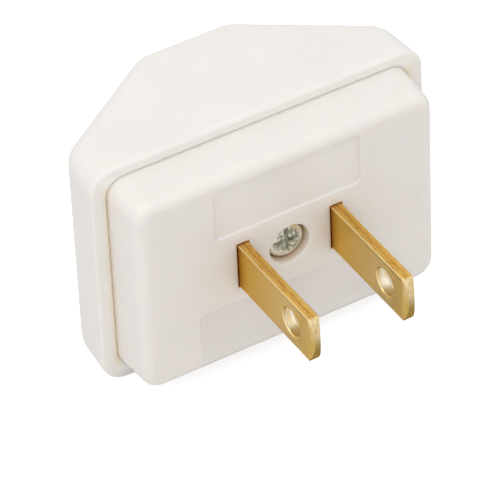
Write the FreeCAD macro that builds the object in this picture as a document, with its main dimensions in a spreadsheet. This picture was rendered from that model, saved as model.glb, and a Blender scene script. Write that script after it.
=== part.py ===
import FreeCAD, Part
import os

import Sketcher
from FreeCAD import Placement, Rotation, Vector

# Three-way wall socket adapter with a triangular plan, in millimetres.
# The blades point along -Y, +Z is up and the origin is the middle of the face between
# the blades, which lies on the wall socket. The shell opens towards -Y and the rear
# cover closes it. Each pole has a blade, a bar and three spring clips. The lower pole
# is the upper one turned half round the blade direction, so both use the same shapes.

# Driving sizes: name, value in millimetres or degrees, meaning.
SIZES = (
    ("cover_width", "40.05", "rear cover, width at its blade side"),
    ("cover_height", "27.7", "rear cover, height at its blade side"),
    ("cover_stand_out", "6.15", "rear cover, depth that stands out of the shell"),
    ("cover_draft", "2.6", "rear cover, draft of its four sides"),
    ("cover_corner_radius", "2.4", "rear cover, corners seen from the wall side"),
    ("cover_front_radius", "1.3", "rear cover, edge round its blade side"),
    ("cover_wall", "1.8", "rear cover, side walls"),
    ("cover_floor", "2.4", "rear cover, wall that holds the blades"),
    ("seat_depth", "2.6", "depth of the cover inside the shell's mouth"),
    ("seat_ledge", "1.1", "width of the ledge that the cover rests on"),
    ("joint_gap", "0.12", "clearance between cover and shell at the ledge"),
    ("rim_side_wall", "2.0", "shell, wall of its mouth at the left and right"),
    ("rim_top_wall", "1.5", "shell, wall of its mouth at the top and bottom"),
    ("front_width", "12.3", "shell, width of its front face before rounding"),
    ("shell_depth", "18.15", "shell, rim to the outer face of its front outlet"),
    ("straight_depth", "7.25", "shell, depth of its straight sides"),
    ("side_draft", "4.7", "shell, draft of its straight sides"),
    ("shell_wall", "2.2", "shell, wall behind the outlet faces"),
    ("side_corner_radius", "3.8", "shell, upright edge between side and slanted face"),
    ("front_corner_radius", "3.5", "shell, upright edge between slanted and front face"),
    ("outline_radius", "3.1", "shell, edge round its top and bottom"),
    ("mouth_corner_radius", "1.5", "shell, inner corners of its mouth"),
    ("rim_outer_radius", "0.85", "shell, outer edge of its rim"),
    ("rim_inner_bevel", "0.5", "shell, bevel of the inner edge of its rim"),
    ("pole_pitch", "12.7", "distance between the two blades or slots"),
    ("slot_length", "7.4", "outlet slot, length"),
    ("slot_height", "2.2", "outlet slot, height"),
    ("slot_lead_in", "0.45", "outlet slot, bevel of its edge"),
    ("web_thickness", "1.2", "shell, web between the two poles"),
    ("web_setback", "1.9", "shell, ledge to the free edge of the web"),
    ("rib_thickness", "1.0", "shell, ribs beside the front outlet"),
    ("rib_offset", "5.1", "shell, middle plane to a rib beside the front outlet"),
    ("rib_depth", "6.1", "shell, length of a rib beside the front outlet"),
    ("bar_rest_offset", "6.2", "shell, middle plane to a rib under the bars"),
    ("boss_radius", "3.0", "shell, screw boss"),
    ("pilot_depth", "5.4", "shell, depth of the hole in the screw boss"),
    ("blade_width", "6.3", "blade, width"),
    ("blade_thickness", "1.5", "blade, thickness"),
    ("blade_length", "16.5", "blade, length outside the cover"),
    ("blade_tip_radius", "2.1", "blade, rounded corners of its tip"),
    ("blade_bevel_length", "0.9", "blade, length of the bevel at its tip"),
    ("blade_bevel_depth", "0.38", "blade, depth of the bevel on each face"),
    ("blade_hole_radius", "1.8", "blade, hole near its tip"),
    ("blade_hole_place", "11.8", "blade, cover face to its hole"),
    ("blade_clearance", "0.15", "blade, clearance in its slot in the cover"),
    ("root_height", "8.6", "blade, height of its root inside the cover"),
    ("root_length", "6.2", "blade, length of its root inside the cover"),
    ("cheek_width", "2.6", "cover, posts above and below a blade root"),
    ("cheek_height", "1.2", "cover, thickness of a post at a blade root"),
    ("cheek_length", "3.4", "cover, length of a post at a blade root"),
    ("screw_recess_radius", "2.95", "cover, recess for the screw head"),
    ("screw_recess_depth", "2.8", "cover, depth of the recess for the screw head"),
    ("screw_tube_radius", "4.1", "cover, tube round the screw"),
    ("screw_head_radius", "2.5", "screw, head"),
    ("screw_head_height", "1.9", "screw, head"),
    ("screw_head_bevel", "0.8", "screw, bevel of its head"),
    ("screw_point", "0.7", "screw, bevel of its end"),
    ("screw_shank_radius", "1.5", "screw, shank"),
    ("screw_length", "10.6", "screw, under the head"),
    ("screw_clearance", "0.12", "clearance round the screw shank"),
    ("cross_width", "0.75", "screw, arm of the cross recess"),
    ("cross_length", "2.9", "screw, across the cross recess"),
    ("cross_depth", "1.2", "screw, depth of the cross recess"),
    ("upper_panel_width", "19.8", "cover, upper sunk panel"),
    ("upper_panel_bottom", "5.05", "cover, middle to the lower edge of the upper panel"),
    ("upper_panel_depth", "0.3", "cover, depth of the upper panel"),
    ("upper_panel_radius", "0.9", "cover, corners of the upper panel"),
    ("lower_panel_width", "25.0", "cover, lower sunk panel"),
    ("lower_panel_top", "5.4", "cover, middle to the upper edge of the lower panel"),
    ("lower_panel_depth", "0.2", "cover, depth of the lower panel"),
    ("lower_panel_radius", "0.9", "cover, corners of the lower panel"),
    ("panel_margin", "1.75", "cover, top or bottom of its face to the nearer sunk panel"),
    ("sheet_thickness", "0.8", "contact bar, sheet"),
    ("spring_thickness", "0.5", "spring clip, sheet"),
    ("clip_length", "7.0", "spring clip, length along the plug blade"),
    ("clip_width", "6.5", "spring clip, inner width"),
    ("clip_setback", "6.6", "outlet face to the middle of its clip"),
    ("clip_gap", "1.25", "spring clip, opening at its narrowest place"),
    ("clip_mouth", "2.1", "spring clip, opening at its ends"),
    ("clip_pinch_length", "2.4", "spring clip, length of its narrowest place"),
    ("clip_bow_radius", "1.0", "spring clip, bends of the bowed leaf"),
    ("clip_fold_length", "4.8", "spring clip, length of the fold at its side"),
    ("bar_end_margin", "1.94", "contact bar, middle of a side clip to its end"),
    ("bar_width", "3.6", "contact bar, width of its long arm"),
    ("bar_tongue_width", "5.2", "contact bar, tongue under the front clip"),
    ("bar_front_setback", "4.7", "front outlet face to the end of the contact bar's tongue"),
    ("bar_corner", "1.4", "contact bar, cut corners"),
    ("bar_leg_width", "3.3", "contact bar, leg to the blade"),
    ("bar_tab_length", "5.6", "contact bar, tab on the blade root"),
    ("bar_tab_margin", "0.4", "contact bar, end of the blade root to the tab's far edge"),
    ("bar_tab_drop", "3.0", "contact bar, middle plane to the end of the tab"),
    ("bar_bend_radius", "0.6", "contact bar, outer bend of the tab"),
    ("rivet_radius", "1.0", "rivets, radius"),
    ("rivet_stand_out", "0.4", "rivets, end that stands out of the bar"),
    ("rivet_clearance", "0.04", "rivets, clearance in their holes"),
    ("rivet_setback", "2.9", "blade root, end to its rivet"),
    ("cut_margin", "1.0", "how far a cut runs past the face it opens"),
)

DOC = FreeCAD.newDocument("socket_adapter")


def make_sheet():
    """Put every driving size on one row: meaning, value and name."""
    sheet = DOC.addObject("Spreadsheet::Sheet", "Sizes")
    for row, (name, value, meaning) in enumerate(SIZES, start=1):
        sheet.set(f"A{row}", meaning)
        sheet.set(f"B{row}", value)
        sheet.setAlias(f"B{row}", name)
    DOC.recompute()
    return sheet


SHEET = make_sheet()


def number(expression):
    """Value of an expression on the sheet."""
    result = SHEET.evalExpression(str(expression))
    return float(getattr(result, "Value", result))


# Planes across the depth, measured from the blade side of the cover.
RIM = "Sizes.cover_stand_out"
LEDGE = "(Sizes.cover_stand_out + Sizes.seat_depth)"
SHOULDER = "(Sizes.cover_stand_out + Sizes.straight_depth)"
FRONT = "(Sizes.cover_stand_out + Sizes.shell_depth)"
WEB_EDGE = f"({LEDGE} + Sizes.web_setback)"

# Half sizes of the cover at the ledge, of the mouth round it and of the shell's rim.
COVER_END_X = f"(Sizes.cover_width / 2 + {LEDGE} * tan(Sizes.cover_draft))"
COVER_END_Z = f"(Sizes.cover_height / 2 + {LEDGE} * tan(Sizes.cover_draft))"
MOUTH_X = f"({COVER_END_X} + Sizes.joint_gap)"
MOUTH_Z = f"({COVER_END_Z} + Sizes.joint_gap)"
CAVITY_X = f"({MOUTH_X} - Sizes.seat_ledge)"
CAVITY_Z = f"({MOUTH_Z} - Sizes.seat_ledge)"
RIM_X = f"({MOUTH_X} + Sizes.rim_side_wall)"
RIM_Z = f"({MOUTH_Z} + Sizes.rim_top_wall)"

# The shell's plan: end of a straight side, and the line of a slanted face.
SHOULDER_X = f"({RIM_X} - Sizes.straight_depth * tan(Sizes.side_draft))"
FRONT_X = "(Sizes.front_width / 2)"
SLANT_RUN = f"({SHOULDER_X} - {FRONT_X})"
SLANT_RISE = "(Sizes.shell_depth - Sizes.straight_depth)"
SLANT_ANGLE = f"atan2({SLANT_RISE}; {SLANT_RUN})"
SLANT_SIN = f"sin({SLANT_ANGLE})"
SLANT_COS = f"cos({SLANT_ANGLE})"
SLANT_LINE = f"({FRONT_X} * {SLANT_SIN} + {FRONT} * {SLANT_COS})"

# Middle of a slanted outlet face, of the clip behind it and the near edge of the bar below.
OUTLET_X = f"(({SHOULDER_X} + {FRONT_X}) / 2)"
OUTLET_Y = f"(({SHOULDER} + {FRONT}) / 2)"
CLIP_X = f"({OUTLET_X} - Sizes.clip_setback * {SLANT_SIN})"
CLIP_Y = f"({OUTLET_Y} - Sizes.clip_setback * {SLANT_COS})"
ARM_NEAR = f"({CLIP_Y} - Sizes.bar_width / 2)"

# Heights of one pole's stack: slot, clip base and bar.
SLOT_Z = "Sizes.pole_pitch / 2"
CLIP_BASE_Z = f"({SLOT_Z} - Sizes.clip_gap / 2)"
BAR_TOP_Z = f"({CLIP_BASE_Z} - Sizes.spring_thickness)"
BAR_LOW_Z = f"({BAR_TOP_Z} - Sizes.sheet_thickness)"
BLADE_SIDE_X = "(Sizes.pole_pitch / 2 + Sizes.blade_thickness / 2)"
ROOT_END = "(Sizes.cover_floor + Sizes.root_length)"

# Shares of the rim's thinnest wall that its two rounded edges may take.
RIM_OUTER_SHARE = "0.55 * Sizes.rim_top_wall"
RIM_INNER_SHARE = "0.42 * Sizes.rim_top_wall"

HALF_TURN = Rotation(Vector(0, 1, 0), 180)
CLOSE = 1e-4


def new_body(label):
    """Start one sub-part."""
    body = DOC.addObject("PartDesign::Body", label)
    body.Label = label
    return body


def new_sketch(body, name, plane, offset=None):
    """Attach an empty sketch to one of the body's own origin planes."""
    sketch = body.newObject("Sketcher::SketchObject", name)
    support = next(f for f in body.Origin.OriginFeatures if f.Role == plane)
    sketch.AttachmentSupport = (support, [""])
    sketch.MapMode = "FlatFace"
    if offset is not None:
        sketch.setExpression("AttachmentOffset.Base.z", offset)
    return sketch


def bind(sketch, constraint, expression):
    """Add a size to a sketch and tie it to the sheet."""
    index = sketch.addConstraint(constraint)
    sketch.setExpression(f"Constraints[{index}]", expression)


def fix_point(sketch, geometry, place, point):
    """Tie one point of a sketch to its two distances from the origin."""
    for kind, expression in (("DistanceX", point[0]), ("DistanceY", point[1])):
        value = number(expression)
        if abs(value) < CLOSE:
            line = -2 if kind == "DistanceX" else -1
            sketch.addConstraint(Sketcher.Constraint("PointOnObject", geometry, place, line))
        else:
            bind(sketch, Sketcher.Constraint(kind, -1, 1, geometry, place, value), str(expression))


def add_polygon(sketch, points):
    """Draw one closed outline through points given as expressions."""
    corners = [Vector(number(x), number(y), 0) for x, y in points]
    first = sketch.GeometryCount
    for start, end in zip(corners, corners[1:] + corners[:1]):
        sketch.addGeometry(Part.LineSegment(start, end), False)
    for index, point in enumerate(points):
        following = first + (index + 1) % len(points)
        sketch.addConstraint(Sketcher.Constraint("Coincident", first + index, 2, following, 1))
        fix_point(sketch, first + index, 1, point)


def add_circle(sketch, centre, radius):
    """Draw one circle whose centre and radius are expressions."""
    place = Vector(number(centre[0]), number(centre[1]), 0)
    index = sketch.addGeometry(Part.Circle(place, Vector(0, 0, 1), number(radius)), False)
    fix_point(sketch, index, 3, centre)
    bind(sketch, Sketcher.Constraint("Radius", index, number(radius)), radius)


def box_points(left, low, right, high):
    """Corners of a rectangle given by four expressions."""
    return [(left, low), (right, low), (right, high), (left, high)]


def middle_box(half_width, half_height):
    """Corners of a rectangle about the origin."""
    return box_points(f"-({half_width})", f"-({half_height})", half_width, half_height)


def outline(body, name, plane, points, offset=None):
    """Sketch with one closed outline."""
    sketch = new_sketch(body, name, plane, offset)
    add_polygon(sketch, points)
    return sketch


def extrude(body, kind, name, sketch, length, symmetric=False, reverse=False):
    """Pad or pocket a sketch and check that it changed the solid the right way."""
    before = body.Shape.Volume if body.Tip else 0.0
    feature = body.newObject(f"PartDesign::{kind}", name)
    feature.Profile = sketch
    feature.setExpression("Length", length)
    feature.SideType = "Symmetric" if symmetric else "One side"
    feature.Reversed = reverse
    DOC.recompute()
    change = body.Shape.Volume - before
    if (change <= 0) if kind == "Pad" else (change >= 0):
        raise ValueError(f"{body.Label}: {name} changed nothing")
    return feature


def edges_where(feature, test):
    """Names of the edges that a test picks."""
    return [f"Edge{i}" for i, edge in enumerate(feature.Shape.Edges, start=1) if test(edge)]


def round_edges(body, name, base, test, radius, kind="Fillet"):
    """Fillet or chamfer the edges that a test picks."""
    names = edges_where(base, test)
    if not names:
        raise ValueError(f"{body.Label}: {name} found no edge")
    feature = body.newObject(f"PartDesign::{kind}", name)
    feature.Base = (base, names)
    feature.setExpression("Size" if kind == "Chamfer" else "Radius", radius)
    DOC.recompute()
    return feature


def runs_along(edge, axis):
    """True for a straight edge along one of the three axes."""
    if len(edge.Vertexes) != 2 or not isinstance(edge.Curve, Part.Line):
        return False
    way = edge.Vertexes[1].Point - edge.Vertexes[0].Point
    return abs(abs(way.normalize().dot(axis)) - 1) < CLOSE


def lies_at(item, axis, place):
    """True for an edge or face that lies wholly at one coordinate."""
    box = item.BoundBox
    low, high = {"x": (box.XMin, box.XMax), "y": (box.YMin, box.YMax), "z": (box.ZMin, box.ZMax)}[axis]
    return abs(low - place) < CLOSE and abs(high - place) < CLOSE


def plan_outline(side, inset):
    """Plan of the shell's inside, set in from its slanted and front faces."""
    line = f"({SLANT_LINE} - {inset})"
    front = f"({FRONT} - {inset})"
    bend = f"({line} - {side} * {SLANT_SIN}) / {SLANT_COS}"
    corner = f"({line} - {front} * {SLANT_COS}) / {SLANT_SIN}"
    return [
        (f"-({side})", RIM), (side, RIM), (side, bend),
        (corner, front), (f"-({corner})", front), (f"-({side})", bend),
    ]


def outlet_places():
    """Middle of each outlet face in plan, as expressions, and its turn from the front."""
    turn = number(SLANT_ANGLE)
    return {
        "left": (f"-{OUTLET_X}", OUTLET_Y, turn),
        "front": ("0", FRONT, 0.0),
        "right": (OUTLET_X, OUTLET_Y, -turn),
    }


def turned_box(centre_x, centre_y, side, near, far, half_width):
    """Plan rectangle on an outlet's axis, from near to far in front of a centre."""
    across = (f"{SLANT_COS}", f"({side} * {SLANT_SIN})")
    along = (f"(-({side}) * {SLANT_SIN})", f"{SLANT_COS}")
    points = []
    for reach, wide in ((near, "-1"), (near, "1"), (far, "1"), (far, "-1")):
        x = f"{centre_x} + {along[0]} * {reach} + {across[0]} * {wide} * {half_width}"
        y = f"{centre_y} + {along[1]} * {reach} + {across[1]} * {wide} * {half_width}"
        points.append((x, y))
    return points


def shell_outside(body):
    """Drafted block with rounded edges: the outer form of the shell."""
    plan = [
        (f"-{RIM_X}", RIM), (RIM_X, RIM), (SHOULDER_X, SHOULDER),
        (FRONT_X, FRONT), (f"-{FRONT_X}", FRONT), (f"-{SHOULDER_X}", SHOULDER),
    ]
    pad = extrude(body, "Pad", "block", outline(body, "plan", "XY_Plane", plan),
                  f"2 * {RIM_Z}", symmetric=True)
    up = Vector(0, 0, 1)
    shoulder = number(SHOULDER)
    front = number(FRONT)
    sides = round_edges(body, "side_corners", pad,
                        lambda e: runs_along(e, up) and lies_at(e, "y", shoulder),
                        "Sizes.side_corner_radius")
    corners = round_edges(body, "front_corners", sides,
                          lambda e: runs_along(e, up) and lies_at(e, "y", front),
                          "Sizes.front_corner_radius")
    level = number(RIM_Z)
    rim = number(RIM)
    return round_edges(body, "outline_edges", corners,
                       lambda e: (lies_at(e, "z", level) or lies_at(e, "z", -level))
                       and not lies_at(e, "y", rim),
                       "Sizes.outline_radius")


def shell_inside(body):
    """Mouth for the cover, cavity behind the ledge, web, ribs and boss."""
    back = f"-({RIM})"
    mouth = outline(body, "mouth_outline", "XZ_Plane", middle_box(MOUTH_X, MOUTH_Z), back)
    extrude(body, "Pocket", "mouth", mouth, "Sizes.seat_depth")
    cavity = outline(body, "cavity_plan", "XY_Plane", plan_outline(CAVITY_X, "Sizes.shell_wall"))
    extrude(body, "Pocket", "cavity", cavity, f"2 * {CAVITY_Z}", symmetric=True)
    middle = plan_outline(f"({CAVITY_X} + Sizes.seat_ledge / 2)", "Sizes.shell_wall / 2")
    middle[0] = (middle[0][0], WEB_EDGE)
    middle[1] = (middle[1][0], WEB_EDGE)
    web = outline(body, "web_plan", "XY_Plane", middle)
    extrude(body, "Pad", "web", web, "Sizes.web_thickness", symmetric=True)
    wall_middle = f"({FRONT} - Sizes.shell_wall / 2)"
    ribs = new_sketch(body, "rib_plan", "XY_Plane")
    near = f"({FRONT} - Sizes.shell_wall - Sizes.rib_depth)"
    for side in ("-", ""):
        left = f"({side}Sizes.rib_offset - Sizes.rib_thickness / 2)"
        right = f"({side}Sizes.rib_offset + Sizes.rib_thickness / 2)"
        add_polygon(ribs, box_points(left, near, right, wall_middle))
    extrude(body, "Pad", "ribs", ribs, f"2 * {CAVITY_Z} + Sizes.shell_wall / 2", symmetric=True)
    rests = new_sketch(body, "bar_rest_plan", "XY_Plane")
    for side in ("-", ""):
        left = f"({side}Sizes.bar_rest_offset - Sizes.rib_thickness / 2)"
        right = f"({side}Sizes.bar_rest_offset + Sizes.rib_thickness / 2)"
        add_polygon(rests, box_points(left, ARM_NEAR, right, f"({ARM_NEAR} + Sizes.bar_width)"))
    extrude(body, "Pad", "bar_rests", rests, f"2 * {BAR_LOW_Z}", symmetric=True)
    boss = new_sketch(body, "boss_circle", "XZ_Plane", f"-({LEDGE})")
    add_circle(boss, ("0", "0"), "Sizes.boss_radius")
    extrude(body, "Pad", "boss", boss, f"{wall_middle} - {LEDGE}", reverse=True)
    pilot = new_sketch(body, "pilot_circle", "XZ_Plane", f"-({LEDGE})")
    add_circle(pilot, ("0", "0"), "Sizes.screw_shank_radius + Sizes.screw_clearance")
    extrude(body, "Pocket", "pilot_hole", pilot, "Sizes.pilot_depth")


def shell_slots(body):
    """Two slots in each outlet face, with bevelled edges."""
    places = outlet_places()
    half = "Sizes.slot_length / 2"
    depth = "(Sizes.shell_wall + Sizes.cut_margin)"
    for name, height in (("upper", SLOT_Z), ("lower", f"-({SLOT_Z})")):
        sketch = new_sketch(body, f"{name}_slot_plan", "XY_Plane", height)
        add_polygon(sketch, box_points(f"-({half})", f"{FRONT} - {depth}", half,
                                       f"{FRONT} + Sizes.cut_margin"))
        for side, key in (("1", "left"), ("-1", "right")):
            x, y, _ = places[key]
            add_polygon(sketch, turned_box(x, y, side, f"(-{depth})", "Sizes.cut_margin", f"({half})"))
        slots = extrude(body, "Pocket", f"{name}_slots", sketch, "Sizes.slot_height", symmetric=True)
    line = number(SLANT_LINE)
    sine, cosine = number(SLANT_SIN), number(SLANT_COS)
    front = number(FRONT)
    reach = number(f"{SLOT_Z} + Sizes.slot_height")

    def on_outlet_face(edge):
        points = [v.Point for v in edge.Vertexes] + [edge.CenterOfMass]
        if max(abs(p.z) for p in points) > reach:
            return False
        slanted = all(abs(abs(p.x) * sine + p.y * cosine - line) < CLOSE for p in points)
        return slanted or all(abs(p.y - front) < CLOSE for p in points)

    up = Vector(0, 0, 1)
    slot_edge = number("Sizes.slot_height") + CLOSE
    return round_edges(body, "slot_lead_in", slots,
                       lambda e: on_outlet_face(e)
                       and not (runs_along(e, up) and e.Length > slot_edge),
                       "Sizes.slot_lead_in", kind="Chamfer")


def shell_rim(body, base):
    """Round the mouth's corners, bevel the rim's inner edge and round its outer edge."""
    rim = number(RIM)
    ledge = number(LEDGE)
    along = Vector(0, 1, 0)
    mouth_x = number(MOUTH_X)

    def mouth_corner(edge):
        ends = sorted(v.Y for v in edge.Vertexes)
        if not runs_along(edge, along) or abs(abs(edge.CenterOfMass.x) - mouth_x) > CLOSE:
            return False
        return abs(ends[0] - rim) < CLOSE and abs(ends[1] - ledge) < CLOSE

    mouth = round_edges(body, "mouth_corners", base, mouth_corner, "Sizes.mouth_corner_radius")
    reach_z = number(MOUTH_Z) + CLOSE

    def inner(edge):
        box = edge.BoundBox
        far = max(abs(box.XMin), abs(box.XMax)) < mouth_x + CLOSE
        return lies_at(edge, "y", rim) and far and max(abs(box.ZMin), abs(box.ZMax)) < reach_z

    lip = round_edges(body, "rim_inside", mouth, inner,
                      f"min(Sizes.rim_inner_bevel; {RIM_INNER_SHARE})", kind="Chamfer")
    wide = number(RIM_X)
    tall = number(RIM_Z)

    def outer(edge):
        box = edge.BoundBox
        at_side = max(abs(box.XMin), abs(box.XMax)) > wide - CLOSE
        return lies_at(edge, "y", rim) and (at_side or max(abs(box.ZMin), abs(box.ZMax)) > tall - CLOSE)

    return round_edges(body, "rim_outside", lip, outer,
                       f"min(Sizes.rim_outer_radius; {RIM_OUTER_SHARE})")


def make_body_shell():
    """Moulded housing with the three outlets."""
    body = new_body("body_shell")
    shell_outside(body)
    shell_inside(body)
    shell_rim(body, shell_slots(body))
    return body


def cover_outside(body):
    """Drafted block with rounded corners and a rounded blade side."""
    half = "Sizes.cover_width / 2"
    plan = [(f"-({half})", "0"), (half, "0"), (COVER_END_X, LEDGE), (f"-{COVER_END_X}", LEDGE)]
    extrude(body, "Pad", "block", outline(body, "plan", "XY_Plane", plan),
            f"2 * {COVER_END_Z}", symmetric=True)
    margin = "Sizes.cut_margin"
    above = f"({COVER_END_Z} + {margin})"
    start = f"(Sizes.cover_height / 2 - {margin} * tan(Sizes.cover_draft))"
    end = f"({COVER_END_Z} + {margin} * tan(Sizes.cover_draft))"
    beyond = f"({LEDGE} + {margin})"
    slopes = new_sketch(body, "top_and_bottom_slopes", "YZ_Plane")
    for side in ("-", ""):
        add_polygon(slopes, [
            (f"-({margin})", f"{side}{start}"), (beyond, f"{side}{end}"),
            (beyond, f"{side}{above}"), (f"-({margin})", f"{side}{above}"),
        ])
    drafted = extrude(body, "Pocket", "top_and_bottom_draft", slopes,
                      f"2 * {COVER_END_X} + {margin}", symmetric=True)
    corners = round_edges(body, "corners", drafted, lambda e: e.BoundBox.YLength > number(RIM),
                          "Sizes.cover_corner_radius")
    return round_edges(body, "face_edges", corners,
                       lambda e: lies_at(e, "y", 0), "Sizes.cover_front_radius")


def cover_inside(body):
    """Hollow the cover from behind and add the tube and the posts."""
    wall = "Sizes.cover_wall"
    inside = middle_box(f"({COVER_END_X} - {wall})", f"({COVER_END_Z} - {wall})")
    hollow = outline(body, "hollow_outline", "XZ_Plane", inside, f"-({LEDGE})")
    extrude(body, "Pocket", "hollow", hollow, f"{LEDGE} - Sizes.cover_floor", reverse=True)
    floor = "-(Sizes.cover_floor)"
    tube = new_sketch(body, "tube_circle", "XZ_Plane", floor)
    add_circle(tube, ("0", "0"), "Sizes.screw_tube_radius")
    extrude(body, "Pad", "screw_tube", tube, f"{LEDGE} - Sizes.cover_floor", reverse=True)
    posts = new_sketch(body, "post_outlines", "XZ_Plane", floor)
    for side in ("-", ""):
        middle = f"({side}Sizes.pole_pitch / 2)"
        left = f"{middle} - Sizes.blade_thickness / 2"
        right = f"{middle} + Sizes.blade_thickness / 2"
        low = "(Sizes.root_height / 2 + Sizes.blade_clearance)"
        high = f"({low} + Sizes.cheek_height)"
        add_polygon(posts, box_points(left, low, right, high))
        add_polygon(posts, box_points(left, f"-{high}", right, f"-{low}"))
    extrude(body, "Pad", "posts", posts, "Sizes.cheek_length", reverse=True)


def cover_openings(body):
    """Screw recess, screw hole, blade slots and the two sunk panels."""
    recess = new_sketch(body, "recess_circle", "XZ_Plane")
    add_circle(recess, ("0", "0"), "Sizes.screw_recess_radius")
    extrude(body, "Pocket", "screw_recess", recess, "Sizes.screw_recess_depth")
    hole = new_sketch(body, "hole_circle", "XZ_Plane")
    add_circle(hole, ("0", "0"), "Sizes.screw_shank_radius + Sizes.screw_clearance")
    extrude(body, "Pocket", "screw_hole", hole, f"{LEDGE} + Sizes.cut_margin")
    slots = new_sketch(body, "blade_slot_outlines", "XZ_Plane")
    half_x = "(Sizes.blade_thickness / 2 + Sizes.blade_clearance)"
    half_z = "(Sizes.blade_width / 2 + Sizes.blade_clearance)"
    for side in ("-", ""):
        middle = f"({side}Sizes.pole_pitch / 2)"
        add_polygon(slots, box_points(f"{middle} - {half_x}", f"-{half_z}", f"{middle} + {half_x}", half_z))
    extrude(body, "Pocket", "blade_slots", slots, "Sizes.cover_floor")
    reach = "Sizes.cover_height / 2 - Sizes.panel_margin"
    upper = outline(body, "upper_panel_outline", "XZ_Plane",
                    box_points("-(Sizes.upper_panel_width / 2)", "Sizes.upper_panel_bottom",
                               "Sizes.upper_panel_width / 2", reach))
    panel = extrude(body, "Pocket", "upper_panel", upper, "Sizes.upper_panel_depth")
    round_panel(body, panel, "upper")
    lower = outline(body, "lower_panel_outline", "XZ_Plane",
                    box_points("-(Sizes.lower_panel_width / 2)", f"-({reach})",
                               "Sizes.lower_panel_width / 2", "-(Sizes.lower_panel_top)"))
    panel = extrude(body, "Pocket", "lower_panel", lower, "Sizes.lower_panel_depth")
    round_panel(body, panel, "lower")


def round_panel(body, panel, name):
    """Round the four corners of a sunk panel."""
    along = Vector(0, 1, 0)
    wide = number(f"Sizes.{name}_panel_width / 2")
    depth = number(f"Sizes.{name}_panel_depth")
    side = 1 if name == "upper" else -1
    round_edges(body, f"{name}_panel_corners", panel,
                lambda e: runs_along(e, along) and abs(e.Length - depth) < CLOSE
                and abs(abs(e.CenterOfMass.x) - wide) < CLOSE and e.CenterOfMass.z * side > 0,
                f"Sizes.{name}_panel_radius")


def make_rear_cover():
    """Moulded cover that carries the blades."""
    body = new_body("rear_cover")
    cover_outside(body)
    cover_inside(body)
    cover_openings(body)
    return body


def make_blade(label, placement):
    """Flat plug blade with a wider root behind the cover's floor."""
    body = new_body(label)
    half = "Sizes.blade_width / 2"
    tip = "-(Sizes.blade_length)"
    root = "Sizes.root_height / 2"
    floor = "Sizes.cover_floor"
    side = [
        (tip, f"-({half})"), (floor, f"-({half})"), (floor, f"-({root})"), (ROOT_END, f"-({root})"),
        (ROOT_END, root), (floor, root), (floor, half), (tip, half),
    ]
    pad = extrude(body, "Pad", "blank", outline(body, "side_outline", "YZ_Plane", side),
                  "Sizes.blade_thickness", symmetric=True)
    end = -number("Sizes.blade_length")
    round_edges(body, "tip_corners", pad,
                lambda e: runs_along(e, Vector(1, 0, 0)) and lies_at(e, "y", end),
                "Sizes.blade_tip_radius")
    bevel = new_sketch(body, "bevel_plan", "XY_Plane")
    face = "Sizes.blade_thickness / 2"
    for sign in ("-", ""):
        start = f"{sign}({face})"
        deep = f"{sign}({face} - Sizes.blade_bevel_depth)"
        beyond = f"{sign}({face} + Sizes.blade_bevel_depth)"
        add_polygon(bevel, [
            (start, f"{tip} + Sizes.blade_bevel_length"), (deep, tip),
            (deep, f"{tip} - Sizes.cut_margin"), (beyond, f"{tip} - Sizes.cut_margin"),
            (beyond, f"{tip} + Sizes.blade_bevel_length"),
        ])
    extrude(body, "Pocket", "tip_bevels", bevel, "2 * Sizes.blade_width", symmetric=True)
    holes = new_sketch(body, "hole_circles", "YZ_Plane")
    add_circle(holes, ("-(Sizes.blade_hole_place)", "0"), "Sizes.blade_hole_radius")
    add_circle(holes, (f"{ROOT_END} - Sizes.rivet_setback", "0"), "Sizes.rivet_radius + Sizes.rivet_clearance")
    extrude(body, "Pocket", "holes", holes, "2 * Sizes.blade_thickness", symmetric=True)
    body.Placement = placement
    return body


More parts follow.
